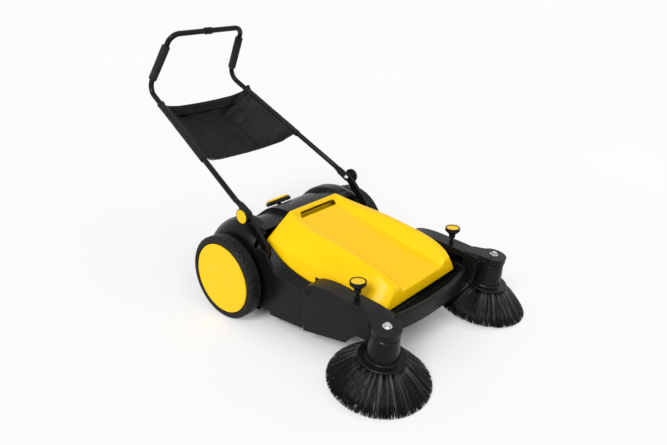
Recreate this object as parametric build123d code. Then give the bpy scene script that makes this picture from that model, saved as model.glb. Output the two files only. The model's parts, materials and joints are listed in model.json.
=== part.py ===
from build123d import *
import math
import os

# Walk-behind push sweeper with two side brushes, a roller and a lift-out hopper.
# Millimetres, +Z up, forward is -Y, the machine is symmetric about X = 0.
# Pieces are drawn for the left (+X) side and mirrored to the right.

# Overall layout
AXLE_Y = 117.12           # wheel axle, measured from the middle of the length
RUN_GAP = 0.3             # gap between a turning piece and its seat
SEAT_GAP = 0.3            # gap between a fixed piece and the shell that holds it
WALL = 3.5                # moulded shell wall

# Wheels
WHEEL_RADIUS = 150.0
WHEEL_WIDTH = 52.0
WHEEL_TRACK = 720.0       # over the outer faces of both wheels
TYRE_DEPTH = 22.0
TREAD_DEPTH = 4.0
TREAD_NOTCHES = 36
TREAD_NOTCH_WIDTH = 9.0
TREAD_NOTCH_REACH = 15.0
WHEEL_CAP_RADIUS = 125.0
WHEEL_CAP_THICK = 5.0
WHEEL_HUB_RADIUS = 20.0
STUB_RADIUS = 8.0

# Gear pair inside each wheel
GEAR_MODULE = 3.0
WHEEL_TEETH = 45
PINION_TEETH = 15
GEAR_FACE = 16.0
TOOTH_SHARE = 0.44        # tooth thickness as a share of the pitch
PRESSURE_ANGLE = 20.0
LAYSHAFT_ANGLE = 190.0    # from straight back, about the wheel axle
LAYSHAFT_RADIUS = 8.0

# Sweeping roller on its swing frame
ROLLER_RADIUS = 92.0
ROLLER_CORE_RADIUS = 34.0
ROLLER_LENGTH = 440.0
ROLLER_BACK = 45.0        # roller axis behind the wheel axle
ROLLER_ROWS = 8
ROLLER_ROW_WIDTH = 20.0
ROLLER_TWIST = 60.0
ROLLER_PIN_RADIUS = 6.0
ROLLER_PULLEY_RADIUS = 18.0
FLAT_BELT_THICK = 3.0
FLAT_BELT_WIDTH = 8.0
SWING_PLATE = 6.0
SWING_X = 236.0
TIE_RADIUS = 6.0

# Side brushes
BRUSH_CENTRES = 600.0     # between the two brush centres on the floor
BRUSH_RADIUS = 160.0
BRUSH_FORWARD = 640.0     # ahead of the wheel axle
BRUSH_LEAN = 8.0          # forward lean of the spindle
BRUSH_SPLAY = 3.0         # outward lean of the spindle
BRISTLE_LENGTH = 86.0
BRISTLE_ROOT = 70.0
BRISTLE_BAND = 38.0
PLATE_RADIUS = 74.0
PLATE_THICK = 8.0
DRUM_RADIUS = 50.0
DRUM_TOP_RADIUS = 42.0
DRUM_HEIGHT = 82.0
DRUM_CHAMFER = 7.0
BRUSH_PULLEY_RADIUS = 24.0
BRUSH_PULLEY_HEIGHT = 14.0
SPINDLE_RADIUS = 5.0
ROUND_BELT_RADIUS = 3.5
DRIVE_PULLEY_RADIUS = 17.0

# Brush arms
ARM_INNER_X = 240.0
ARM_OUTER_X = 300.0
ARM_WALL = 3.0
ARM_PIVOT_FORWARD = 345.0
ARM_PIVOT_Z = 203.0
ARM_TOP_Z = 241.0
ARM_FRONT = 640.0          # front end of the side walls, beside the brush drum
ARM_NOTCH_Z = 134.0        # lower edge of the walls over the brush
DRUM_CLEARANCE = 4.5
ARM_CAP_RADIUS = 44.0
ARM_CAP_TOP = 5.0
PIVOT_RADIUS = 6.0
PIVOT_BOSS_RADIUS = 14.0

# Height knobs on the arms
KNOB_X = 265.0
KNOB_FORWARD = 523.0
KNOB_TOP_Z = 297.0
KNOB_RADIUS = 26.0
KNOB_CAP_RADIUS = 22.5
KNOB_CAP_THICK = 6.0
KNOB_STEM_RADIUS = 6.0

# Chassis
CHASSIS_HALF = 285.0
CHASSIS_WALL = 4.0
WELL_HALF = 228.0         # inside of the hopper well
WELL_WALL = 4.0
SEAT_Z = 186.0            # rail that the hopper stands on
CHASSIS_REAR = 156.0      # behind the wheel axle
FRONT_RIM_FORWARD = 645.0
RIM_TOP_Z = 186.0
RIM_BOTTOM_Z = 132.0
RIM_WALL = 6.0
RIM_LIP = 14.0            # grip bar along the front of the trough
RIM_EDGE = 6.0            # rounding of the grip bar
CHEEK_THICK = 4.0         # ends of the bumper, outside the well walls
CHEEK_REAR = 556.0
TROUGH_Z = 150.0

# Rear deck
DECK_HALF = 235.0
DECK_TOP_Z = 325.0
PLATEAU_HALF = 100.0
PLATEAU_RISE = 16.0
FENDER_RADIUS = 184.0
FENDER_INNER_X = 182.0

# Roller height dial
DIAL_BACK = 79.0
DIAL_Z = 302.0
DIAL_TILT = 28.5
DIAL_RADIUS = 49.5
DIAL_THICK = 16.0
DIAL_CAP_RADIUS = 45.0
DIAL_CAP_THICK = 7.0
DIAL_STEM_RADIUS = 8.0

# Hopper
HOPPER_REAR = 98.0        # rear edge of the cover, ahead of the wheel axle
HOPPER_FRONT = 580.0
HOPPER_TOP_Z = 356.0
COVER_WALL = 3.0
COVER_ROUND = 14.0        # along the rails and shoulders of the cover
FRONT_ROUND = 15.0
VALLEY_ROUND = 14.0
RIM_ROUND = 8.0           # where the recess meets the top of the cover
BIN_HALF = 222.0
BIN_WALL = 3.0
BIN_FLOOR_Z = 42.0
COVER_EDGE_X = 234.0      # lower edge of the cover, beside the bin
TAB_LENGTH = 18.0         # tabs on the bin that carry the cover
VALLEY_HALF = 106.0
VALLEY_REAR_Z = 326.0
VALLEY_FRONT_Z = 221.0
GRIP_SLOT_WIDTH = 182.0
GRIP_SLOT_HEIGHT = 17.0

# Handle
FOLD_X = 264.0
FOLD_FORWARD = 39.0
FOLD_Z = 370.0
BEND_X = 200.0
BEND_BACK = 571.0
BEND_Z = 698.0
TOP_X = 167.0
TOP_BACK = 443.0
TOP_Z = 905.0
TUBE_RADIUS = 10.0
TUBE_WALL = 1.5
BEND_RADIUS = 42.0
FLAT_WIDTH = 28.0
FLAT_THICK = 8.0
FLAT_LENGTH = 45.0
FLAT_BLEND = 28.0
BRACKET_THICK = 12.0
BRACKET_KNEE_FORWARD = 124.0
BRACKET_KNEE_Z = 282.0
BRACKET_FOOT_FORWARD = 131.0
BRACKET_FOOT_Z = 238.0
FOLD_BOLT_RADIUS = 5.0
CLAMP_KNOB_RADIUS = 27.0
CLAMP_KNOB_THICK = 18.0
CLAMP_CAP_RADIUS = 24.0
CLAMP_CAP_THICK = 5.0
GRIP_RADIUS = 16.0
GRIP_START = 42.0         # above the lower bend corner, along the tube
GRIP_LENGTH = 154.0
SLEEVE_RADIUS = 13.0
SLEEVE_LENGTH = 30.0

# Bag between the handle tubes
BAG_START = 286.0         # from the fold joint, along the tubes
BAG_LENGTH = 304.0
BAG_DEPTH = 72.0
BAG_WALL = 4.0
BAG_SLEEVE_WALL = 2.5
BAG_INSET = 46.0


def closed_face(points):
    return make_face(Polyline(*points, close=True))


def slab_x(face, x_from, x_to):
    """Extrude a face drawn in (y, z) from one X to another."""
    return extrude(Plane.YZ.offset(x_from) * face, x_to - x_from)


def turned_x(points, y=0.0, z=0.0):
    """Turn an (x, radius) outline about a line along X."""
    return Pos(0, y, z) * revolve(closed_face(points), Axis.X)


def turned_z(points):
    """Turn a (radius, height) outline about Z."""
    return revolve(Plane.XZ * closed_face(points), Axis.Z)


def rod_x(radius, x_from, x_to, y, z):
    return Pos((x_from + x_to) / 2, y, z) * Rot(0, 90, 0) * Cylinder(radius, abs(x_to - x_from))


def mirrored(shape):
    return mirror(shape, about=Plane.YZ)


def forward(distance):
    """Y of a place this far ahead of the wheel axle."""
    return AXLE_Y - distance


def backward(distance):
    return AXLE_Y + distance


def curve_face(top_points, floor_z):
    """Face in (y, z) under a smooth top curve, closed along a level line."""
    first = top_points[0]
    last = top_points[-1]
    top = Spline(*top_points)
    sides = Polyline(last, (last[0], floor_z), (first[0], floor_z), first)
    return make_face([top] + sides.edges())


# Places that several pieces share
WHEEL_OUT_X = WHEEL_TRACK / 2
WHEEL_IN_X = WHEEL_OUT_X - WHEEL_WIDTH
RIM_RADIUS = WHEEL_RADIUS - TYRE_DEPTH
GEAR_CENTRES = GEAR_MODULE * (WHEEL_TEETH + PINION_TEETH) / 2
LAYSHAFT_Y = AXLE_Y + GEAR_CENTRES * math.cos(math.radians(LAYSHAFT_ANGLE))
LAYSHAFT_Z = WHEEL_RADIUS + GEAR_CENTRES * math.sin(math.radians(LAYSHAFT_ANGLE))
GEAR_X = WHEEL_IN_X + 8.0
ROLLER_Y = backward(ROLLER_BACK)
ROLLER_Z = ROLLER_RADIUS
FLAT_BELT_X = 251.0
ROUND_BELT_X = 268.0
ARM_PIVOT_Y = forward(ARM_PIVOT_FORWARD)
POST_OUT_X = ARM_INNER_X - SEAT_GAP
POST_IN_X = POST_OUT_X - 4.0
KNOB_Y = forward(KNOB_FORWARD)
FOLD_Y = forward(FOLD_FORWARD)
DIAL_Y = backward(DIAL_BACK)
DIAL_AXIS = (0.0, math.sin(math.radians(DIAL_TILT)), math.cos(math.radians(DIAL_TILT)))
SPINDLE_AXIS = (
    math.sin(math.radians(BRUSH_SPLAY)),
    -math.sin(math.radians(BRUSH_LEAN)) * math.cos(math.radians(BRUSH_SPLAY)),
    math.cos(math.radians(BRUSH_LEAN)) * math.cos(math.radians(BRUSH_SPLAY)),
)
BRUSH_FLOOR = (
    BRUSH_CENTRES / 2,
    forward(BRUSH_FORWARD),
    BRUSH_RADIUS * math.sqrt(1 - SPINDLE_AXIS[2] ** 2),
)
DRUM_BOTTOM = BRISTLE_LENGTH + PLATE_THICK
DRUM_TOP = DRUM_BOTTOM + DRUM_HEIGHT
PULLEY_BOTTOM = DRUM_TOP + 3.0
PULLEY_MIDDLE = PULLEY_BOTTOM + BRUSH_PULLEY_HEIGHT / 2
PULLEY_TOP = PULLEY_BOTTOM + BRUSH_PULLEY_HEIGHT
CAP_BOTTOM = DRUM_TOP + 2.0
CAP_TOP = PULLEY_TOP + 2.0 + ARM_CAP_TOP
BRUSH_FRAME = Pos(*BRUSH_FLOOR) * Rot(BRUSH_LEAN, BRUSH_SPLAY, 0)
DIAL_FRAME = Pos(0, DIAL_Y, DIAL_Z) * Rot(-DIAL_TILT, 0, 0)
FOLD_POINT = Vector(FOLD_X, FOLD_Y, FOLD_Z)
BEND_POINT = Vector(BEND_X, backward(BEND_BACK), BEND_Z)
TOP_POINT = Vector(TOP_X, backward(TOP_BACK), TOP_Z)
TUBE_RUN = (BEND_POINT - FOLD_POINT).normalized()
GRIP_RUN = (TOP_POINT - BEND_POINT).normalized()


def gear_face(teeth):
    """Involute spur gear outline about the origin, one tooth on +X."""
    pitch_radius = GEAR_MODULE * teeth / 2
    base_radius = pitch_radius * math.cos(math.radians(PRESSURE_ANGLE))
    tip_radius = pitch_radius + 0.8 * GEAR_MODULE
    root_radius = pitch_radius - 1.1 * GEAR_MODULE
    half_tooth = TOOTH_SHARE * math.pi / teeth
    pressure = math.radians(PRESSURE_ANGLE)
    pitch_involute = math.tan(pressure) - pressure
    flank = []
    for radius in (max(base_radius, root_radius), pitch_radius, tip_radius):
        angle = math.acos(min(1.0, base_radius / radius))
        flank.append((radius, half_tooth + pitch_involute - (math.tan(angle) - angle)))
    tooth = [(root_radius, -flank[0][1])]
    tooth += [(radius, -angle) for radius, angle in flank]
    tooth += [(radius, angle) for radius, angle in reversed(flank)]
    tooth.append((root_radius, flank[0][1]))
    points = []
    for number in range(teeth):
        turn = 2 * math.pi * number / teeth
        for radius, angle in tooth:
            point = (radius * math.cos(turn + angle), radius * math.sin(turn + angle))
            if not points or math.dist(point, points[-1]) > 1e-6:
                points.append(point)
    return closed_face(points)


def wheel_parts():
    shoulder = 7.0
    bead = 4.0
    ring = turned_x([
        (WHEEL_IN_X + bead, RIM_RADIUS),
        (WHEEL_OUT_X - bead, RIM_RADIUS),
        (WHEEL_OUT_X, RIM_RADIUS + bead),
        (WHEEL_OUT_X, WHEEL_RADIUS - shoulder),
        (WHEEL_OUT_X - shoulder, WHEEL_RADIUS),
        (WHEEL_IN_X + shoulder, WHEEL_RADIUS),
        (WHEEL_IN_X, WHEEL_RADIUS - shoulder),
        (WHEEL_IN_X, RIM_RADIUS + bead),
    ])
    notch = Box(TREAD_NOTCH_REACH * 2, TREAD_NOTCH_WIDTH, TREAD_DEPTH * 2)
    step = 360.0 / TREAD_NOTCHES
    cuts = []
    for number in range(TREAD_NOTCHES):
        for side, half_step in ((WHEEL_OUT_X, 0.0), (WHEEL_IN_X, 0.5)):
            turn = Rot(step * (number + half_step), 0, 0)
            cuts.append(turn * Pos(side, 0, WHEEL_RADIUS) * notch)
    tyre = Pos(0, AXLE_Y, WHEEL_RADIUS) * (ring - cuts)

    web = 6.0
    web_x = WHEEL_OUT_X - WHEEL_CAP_THICK - web - 8.0
    band = 6.0
    hub_in = CHASSIS_HALF + 11.0
    rim = turned_x([
        (hub_in, STUB_RADIUS + RUN_GAP),
        (WHEEL_OUT_X - WHEEL_CAP_THICK - 6.0, STUB_RADIUS + RUN_GAP),
        (WHEEL_OUT_X - WHEEL_CAP_THICK - 6.0, WHEEL_HUB_RADIUS),
        (web_x + web, WHEEL_HUB_RADIUS + 4.0),
        (web_x + web, RIM_RADIUS - band),
        (WHEEL_OUT_X - WHEEL_CAP_THICK, RIM_RADIUS - band),
        (WHEEL_OUT_X - WHEEL_CAP_THICK, RIM_RADIUS),
        (WHEEL_IN_X + bead, RIM_RADIUS),
        (WHEEL_IN_X + bead, RIM_RADIUS - band),
        (web_x, RIM_RADIUS - band),
        (web_x, WHEEL_HUB_RADIUS),
        (hub_in, WHEEL_HUB_RADIUS),
    ], AXLE_Y, WHEEL_RADIUS)
    gear_wall = 10.0
    gear = gear_face(WHEEL_TEETH) - Circle(GEAR_MODULE * WHEEL_TEETH / 2 - gear_wall)
    gear = Pos(0, AXLE_Y, WHEEL_RADIUS) * slab_x(Rot(0, 0, LAYSHAFT_ANGLE) * gear, GEAR_X, web_x)
    rim = rim + gear

    dish = 2.0
    cap_in = WHEEL_OUT_X - WHEEL_CAP_THICK
    cap = turned_x([
        (cap_in, 0),
        (cap_in + WHEEL_CAP_THICK - dish, 0),
        (cap_in + WHEEL_CAP_THICK - dish, 30.0),
        (cap_in + WHEEL_CAP_THICK - dish / 2, 34.0),
        (cap_in + WHEEL_CAP_THICK - dish / 2, WHEEL_CAP_RADIUS - 12.0),
        (cap_in + WHEEL_CAP_THICK, WHEEL_CAP_RADIUS - 8.0),
        (cap_in + WHEEL_CAP_THICK, WHEEL_CAP_RADIUS - 2.0),
        (cap_in + WHEEL_CAP_THICK - 2.0, WHEEL_CAP_RADIUS),
        (cap_in, WHEEL_CAP_RADIUS),
    ], AXLE_Y, WHEEL_RADIUS)

    collar = turned_x([
        (ROUND_BELT_X - 4.0, 0),
        (ROUND_BELT_X - 4.0, STUB_RADIUS + 5.0),
        (CHASSIS_HALF - CHASSIS_WALL, STUB_RADIUS + 5.0),
        (CHASSIS_HALF - CHASSIS_WALL, STUB_RADIUS),
        (CHASSIS_HALF, STUB_RADIUS),
        (CHASSIS_HALF, STUB_RADIUS + 8.0),
        (hub_in - RUN_GAP, STUB_RADIUS + 8.0),
        (hub_in - RUN_GAP, STUB_RADIUS),
        (cap_in - 2.0, STUB_RADIUS),
        (cap_in - 2.0, 0),
    ], AXLE_Y, WHEEL_RADIUS)
    return tyre, rim, cap, collar


def layshaft_part():
    """Pinion, shaft and the two belt pulleys as one turning piece."""
    flange = 3.0
    half_flat = FLAT_BELT_WIDTH / 2 + 1.0
    groove = ROUND_BELT_RADIUS + RUN_GAP
    half_round = groove + 2.5
    flat_seat = ROLLER_PULLEY_RADIUS - RUN_GAP
    shaft = turned_x([
        (WELL_HALF, 0),
        (WELL_HALF, LAYSHAFT_RADIUS),
        (FLAT_BELT_X - half_flat - flange, LAYSHAFT_RADIUS),
        (FLAT_BELT_X - half_flat - flange, flat_seat + 4.0),
        (FLAT_BELT_X - half_flat, flat_seat + 4.0),
        (FLAT_BELT_X - half_flat, flat_seat),
        (FLAT_BELT_X + half_flat, flat_seat),
        (FLAT_BELT_X + half_flat, flat_seat + 4.0),
        (FLAT_BELT_X + half_flat + 2.0, flat_seat + 4.0),
        (FLAT_BELT_X + half_flat + 2.0, 14.0),
        (ROUND_BELT_X - half_round, 14.0),
        (ROUND_BELT_X - half_round, DRIVE_PULLEY_RADIUS),
        (ROUND_BELT_X + half_round, DRIVE_PULLEY_RADIUS),
        (ROUND_BELT_X + half_round, LAYSHAFT_RADIUS),
        (GEAR_X + GEAR_FACE, LAYSHAFT_RADIUS),
        (GEAR_X + GEAR_FACE, 0),
    ])
    ring = Pos(ROUND_BELT_X, 0, 0) * Rot(0, 90, 0) * Torus(DRIVE_PULLEY_RADIUS, groove)
    pinion = slab_x(Rot(0, 0, LAYSHAFT_ANGLE) * gear_face(PINION_TEETH), GEAR_X + 1.0, GEAR_X + GEAR_FACE)
    return Pos(0, LAYSHAFT_Y, LAYSHAFT_Z) * (shaft - ring + pinion)


def swing_frame_parts():
    """Two plates on the layshafts, a tie bar and the roller belts."""
    bar_distance = 120.0
    bar_y = DIAL_Y - DIAL_AXIS[1] * bar_distance
    bar_z = DIAL_Z - DIAL_AXIS[2] * bar_distance
    eye = 17.0
    circles = Pos(LAYSHAFT_Y, LAYSHAFT_Z) * Circle(eye)
    circles += Pos(ROLLER_Y, ROLLER_Z) * Circle(eye)
    circles += Pos(bar_y, bar_z) * Circle(TIE_RADIUS + 6.0)
    outline = make_hull(circles.edges())
    outline -= Pos(LAYSHAFT_Y, LAYSHAFT_Z) * Circle(LAYSHAFT_RADIUS + RUN_GAP)
    outline -= Pos(ROLLER_Y, ROLLER_Z) * Circle(ROLLER_PIN_RADIUS + RUN_GAP)
    outline -= Pos(bar_y, bar_z) * Circle(TIE_RADIUS)
    window = Pos((LAYSHAFT_Y + ROLLER_Y + bar_y) / 3, (LAYSHAFT_Z + ROLLER_Z + bar_z) / 3) * Circle(14.0)
    plate = slab_x(outline - window, SWING_X, SWING_X + SWING_PLATE)
    bar = rod_x(TIE_RADIUS, -SWING_X - SWING_PLATE, SWING_X + SWING_PLATE, bar_y, bar_z)

    span = math.dist((LAYSHAFT_Y, LAYSHAFT_Z), (ROLLER_Y, ROLLER_Z))
    slope = math.degrees(math.atan2(ROLLER_Z - LAYSHAFT_Z, ROLLER_Y - LAYSHAFT_Y))
    inner = SlotCenterToCenter(span, ROLLER_PULLEY_RADIUS * 2)
    outer = SlotCenterToCenter(span, (ROLLER_PULLEY_RADIUS + FLAT_BELT_THICK) * 2)
    loop = Pos((LAYSHAFT_Y + ROLLER_Y) / 2, (LAYSHAFT_Z + ROLLER_Z) / 2) * Rot(0, 0, slope) * (outer - inner)
    belt = slab_x(loop, FLAT_BELT_X - FLAT_BELT_WIDTH / 2, FLAT_BELT_X + FLAT_BELT_WIDTH / 2)
    return plate, bar, belt


def roller_parts():
    half = ROLLER_LENGTH / 2
    flat_seat = ROLLER_PULLEY_RADIUS - RUN_GAP
    half_flat = FLAT_BELT_WIDTH / 2 + 1.0
    core = rod_x(ROLLER_CORE_RADIUS, -half, half, ROLLER_Y, ROLLER_Z)
    end = turned_x([
        (half, 0),
        (half, ROLLER_PIN_RADIUS + 5.0),
        (SWING_X - RUN_GAP, ROLLER_PIN_RADIUS + 5.0),
        (SWING_X - RUN_GAP, ROLLER_PIN_RADIUS),
        (FLAT_BELT_X - half_flat - 2.0, ROLLER_PIN_RADIUS),
        (FLAT_BELT_X - half_flat - 2.0, flat_seat + 4.0),
        (FLAT_BELT_X - half_flat, flat_seat + 4.0),
        (FLAT_BELT_X - half_flat, flat_seat),
        (FLAT_BELT_X + half_flat, flat_seat),
        (FLAT_BELT_X + half_flat, flat_seat + 4.0),
        (FLAT_BELT_X + half_flat + 2.0, flat_seat + 4.0),
        (FLAT_BELT_X + half_flat + 2.0, 0),
    ], ROLLER_Y, ROLLER_Z)
    pulleys = [end, mirrored(end)]

    row = Pos((ROLLER_CORE_RADIUS + ROLLER_RADIUS) / 2, 0)
    row = row * Rectangle(ROLLER_RADIUS - ROLLER_CORE_RADIUS + 4.0, ROLLER_ROW_WIDTH)
    star = Circle(ROLLER_CORE_RADIUS + 8.0)
    for number in range(ROLLER_ROWS):
        star += Rot(0, 0, 360.0 * number / ROLLER_ROWS) * row
    star = star & Circle(ROLLER_RADIUS)
    star -= Circle(ROLLER_CORE_RADIUS)
    turn = ROLLER_TWIST
    twisted = Solid.extrude_linear_with_rotation(
        star.face(), center=(0, 0, 0), normal=(0, 0, ROLLER_LENGTH), angle=turn)
    bristles = Pos(-half, ROLLER_Y, ROLLER_Z) * Rot(0, 90, 0) * twisted
    return core, bristles, pulleys


def brush_parts():
    """Rotating hub with its pulley, and the ring of bristles, on the spindle."""
    bore = SPINDLE_RADIUS + RUN_GAP
    groove = ROUND_BELT_RADIUS + RUN_GAP
    pulley_out = BRUSH_PULLEY_RADIUS
    hub = turned_z([
        (bore, BRISTLE_LENGTH),
        (PLATE_RADIUS - 2.0, BRISTLE_LENGTH),
        (PLATE_RADIUS, BRISTLE_LENGTH + 2.0),
        (PLATE_RADIUS, DRUM_BOTTOM - 2.0),
        (PLATE_RADIUS - 2.0, DRUM_BOTTOM),
        (DRUM_RADIUS + 3.0, DRUM_BOTTOM),
        (DRUM_RADIUS, DRUM_BOTTOM + 4.0),
        (DRUM_TOP_RADIUS, DRUM_TOP - DRUM_CHAMFER),
        (DRUM_TOP_RADIUS - DRUM_CHAMFER, DRUM_TOP),
        (12.0, DRUM_TOP),
        (12.0, PULLEY_BOTTOM),
        (pulley_out, PULLEY_BOTTOM),
        (pulley_out, PULLEY_TOP),
        (bore, PULLEY_TOP),
    ])
    hub -= Pos(0, 0, PULLEY_MIDDLE) * Torus(BRUSH_PULLEY_RADIUS, groove)
    spread = BRUSH_RADIUS - BRISTLE_ROOT
    outside = Spline(
        (BRISTLE_ROOT, BRISTLE_LENGTH),
        (BRISTLE_ROOT + 0.42 * spread, 0.66 * BRISTLE_LENGTH),
        (BRISTLE_ROOT + 0.78 * spread, 0.31 * BRISTLE_LENGTH),
        (BRUSH_RADIUS, 0),
    )
    inner_root = BRISTLE_ROOT - BRISTLE_BAND
    inside = Spline(
        (BRUSH_RADIUS - BRISTLE_BAND, 0),
        (inner_root + 0.74 * spread, 0.31 * BRISTLE_LENGTH),
        (inner_root + 0.36 * spread, 0.66 * BRISTLE_LENGTH),
        (inner_root, BRISTLE_LENGTH),
    )
    edges = [
        outside,
        Line((BRUSH_RADIUS, 0), (BRUSH_RADIUS - BRISTLE_BAND, 0)),
        inside,
        Line((inner_root, BRISTLE_LENGTH), (BRISTLE_ROOT, BRISTLE_LENGTH)),
    ]
    bristles = revolve(Plane.XZ * make_face(edges), Axis.Z)
    washer = 14.0
    bolt = turned_z([
        (0, BRISTLE_LENGTH + 1.0),
        (SPINDLE_RADIUS, BRISTLE_LENGTH + 1.0),
        (SPINDLE_RADIUS, CAP_TOP),
        (washer, CAP_TOP),
        (washer, CAP_TOP + 2.5),
        (0, CAP_TOP + 2.5),
    ])
    bolt += Pos(0, 0, CAP_TOP + 2.5) * extrude(RegularPolygon(9.5, 6), 7.0)
    return BRUSH_FRAME * hub, BRUSH_FRAME * bristles, BRUSH_FRAME * bolt


def arm_outline(inset):
    """Side outline of the arm in (y, z): crowned top, stepped lower edge."""
    top = ARM_TOP_Z - inset
    rear = forward(ARM_PIVOT_FORWARD - 14.0) - inset
    front = forward(ARM_FRONT) + inset
    curve = Spline(
        (rear, ARM_PIVOT_Z - 6.0),
        (forward(ARM_PIVOT_FORWARD) - inset, ARM_PIVOT_Z + 24.0 - inset),
        (forward(ARM_PIVOT_FORWARD + 40.0), top),
        (forward(ARM_PIVOT_FORWARD + 155.0), top - 2.0),
        (forward(585.0), top - 9.5),
        (front, top - 17.0),
    )
    low_rear = 58.0
    low_front = 90.0
    sides = Polyline(
        (front, top - 17.0),
        (front + 6.0, ARM_NOTCH_Z),
        (forward(546.0), ARM_NOTCH_Z),
        (forward(506.0), low_front),
        (rear, low_rear),
        (rear, ARM_PIVOT_Z - 6.0),
    )
    return make_face([curve] + sides.edges())


def arm_part():
    body = slab_x(arm_outline(0.0), ARM_INNER_X, ARM_OUTER_X)
    hollow = slab_x(arm_outline(ARM_WALL), ARM_INNER_X + ARM_WALL, ARM_OUTER_X - ARM_WALL)
    open_from = 305.0
    open_to = 588.0
    under = Pos((ARM_INNER_X + ARM_OUTER_X - 2 * ARM_WALL) / 2, forward((open_from + open_to) / 2), 100.0)
    hollow += under * Box(ARM_OUTER_X - ARM_INNER_X, open_to - open_from, 2 * (SEAT_Z + 24.0 - 100.0))

    def neck(inset, low, high):
        reach = 78.0
        cap_x = BRUSH_FLOOR[0] + SPINDLE_AXIS[0] * CAP_TOP
        left = ARM_INNER_X - cap_x + 4.0 + inset
        right = ARM_OUTER_X - cap_x - inset
        radius = ARM_CAP_RADIUS - inset
        plan = closed_face([
            (-radius, 0), (radius, 0), (right, reach - inset), (left, reach - inset)])
        plan = plan + Circle(radius)
        return BRUSH_FRAME * Pos(0, 0, low) * extrude(plan, high - low)

    body = body + neck(0.0, CAP_BOTTOM, CAP_TOP)
    hollow = hollow + neck(ARM_WALL, CAP_BOTTOM - 30.0, CAP_TOP - ARM_CAP_TOP)
    shell = body - hollow
    drum_room = DRUM_RADIUS + DRUM_CLEARANCE
    drum_middle = (DRUM_BOTTOM + CAP_BOTTOM) / 2
    shell -= BRUSH_FRAME * Pos(0, 0, drum_middle) * Cylinder(drum_room, CAP_BOTTOM - DRUM_BOTTOM)
    boss_in = CHASSIS_HALF + SEAT_GAP
    outer_boss = rod_x(PIVOT_BOSS_RADIUS, boss_in, ARM_OUTER_X + 3.0, ARM_PIVOT_Y, ARM_PIVOT_Z)
    inner_ear = slab_x(
        Pos(ARM_PIVOT_Y, ARM_PIVOT_Z + 6.0) * Rectangle(28.0, 40.0), ARM_INNER_X, ARM_INNER_X + ARM_WALL)
    shell = shell + outer_boss + inner_ear
    shell -= rod_x(PIVOT_RADIUS + RUN_GAP, ARM_INNER_X - 1.0, ARM_OUTER_X + 9.0, ARM_PIVOT_Y, ARM_PIVOT_Z)
    shell -= BRUSH_FRAME * Pos(0, 0, CAP_TOP - ARM_CAP_TOP) * Cylinder(SPINDLE_RADIUS + 0.05, 40.0)
    shell -= Pos(KNOB_X, KNOB_Y, ARM_TOP_Z) * Cylinder(KNOB_STEM_RADIUS + RUN_GAP, 40.0)
    return shell


def height_knob_parts():
    """Cup-shaped knob with an inset cap, on a stem through the arm."""
    cup = 12.0
    neck_radius = 11.0
    cap_z = KNOB_TOP_Z - 2.0
    body = turned_z([
        (0, KNOB_TOP_Z - 38.0),
        (neck_radius, KNOB_TOP_Z - 38.0),
        (neck_radius + 1.0, KNOB_TOP_Z - 26.0),
        (KNOB_RADIUS - 3.0, KNOB_TOP_Z - 15.0),
        (KNOB_RADIUS, KNOB_TOP_Z - cup),
        (KNOB_RADIUS, KNOB_TOP_Z - 1.5),
        (KNOB_RADIUS - 1.5, KNOB_TOP_Z),
        (KNOB_CAP_RADIUS + SEAT_GAP, KNOB_TOP_Z),
        (KNOB_CAP_RADIUS + SEAT_GAP, cap_z - KNOB_CAP_THICK),
        (0, cap_z - KNOB_CAP_THICK),
    ])
    cap = turned_z([
        (0, cap_z - KNOB_CAP_THICK),
        (KNOB_CAP_RADIUS, cap_z - KNOB_CAP_THICK),
        (KNOB_CAP_RADIUS, cap_z - 1.0),
        (KNOB_CAP_RADIUS - 1.0, cap_z),
        (0, cap_z),
    ])
    stem_low = 196.0
    stem_high = KNOB_TOP_Z - 38.0
    stem = Pos(0, 0, (stem_low + stem_high) / 2) * Cylinder(KNOB_STEM_RADIUS, stem_high - stem_low)
    collar_z = ARM_TOP_Z + 4.0
    stem += Pos(0, 0, collar_z) * Cylinder(KNOB_STEM_RADIUS + 4.0, 4.0)
    place = Pos(KNOB_X, KNOB_Y, 0)
    return place * body, place * cap, place * stem


def brush_belt_part():
    """Round belt from the layshaft pulley, twisted a quarter turn to the brush pulley."""
    centre = Vector(ROUND_BELT_X, LAYSHAFT_Y, LAYSHAFT_Z)
    radius = DRIVE_PULLEY_RADIUS
    upper = centre + Vector(0, 0, radius)
    lower = centre - Vector(0, 0, radius)
    back = centre + Vector(0, radius, 0)

    def on_pulley(angle):
        turn = math.radians(angle)
        place = BRUSH_FRAME * Pos(
            BRUSH_PULLEY_RADIUS * math.cos(turn), BRUSH_PULLEY_RADIUS * math.sin(turn), PULLEY_MIDDLE)
        return place.position

    enter = on_pulley(180.0)
    leave_angle = 430.0
    leave = on_pulley(leave_angle)
    leave_run = (on_pulley(leave_angle + 0.5) - on_pulley(leave_angle - 0.5)).normalized()
    enter_run = (on_pulley(180.5) - on_pulley(179.5)).normalized()
    ahead = Vector(0, -1, 0)
    lead = 16.0
    pull = 180.0
    bend = 52.0
    upper_off = upper + ahead * lead
    enter_on = enter - enter_run * lead
    leave_off = leave + leave_run * lead
    lower_on = lower + ahead * lead
    runs = [
        Line(upper, upper_off),
        Bezier(upper_off, upper_off + ahead * pull, enter_on - enter_run * pull, enter_on),
        Line(enter_on, enter),
        ThreePointArc(enter, on_pulley(305.0), leave),
        Line(leave, leave_off),
        Bezier(leave_off, leave_off + leave_run * bend, lower_on + ahead * pull, lower_on),
        Line(lower_on, lower),
        ThreePointArc(lower, back, upper),
    ]
    section = Circle(ROUND_BELT_RADIUS)
    belt = None
    for run in runs:
        piece = sweep(Plane(origin=run @ 0, z_dir=run % 0) * section, path=run)
        belt = piece if belt is None else belt + piece
    return belt


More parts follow.
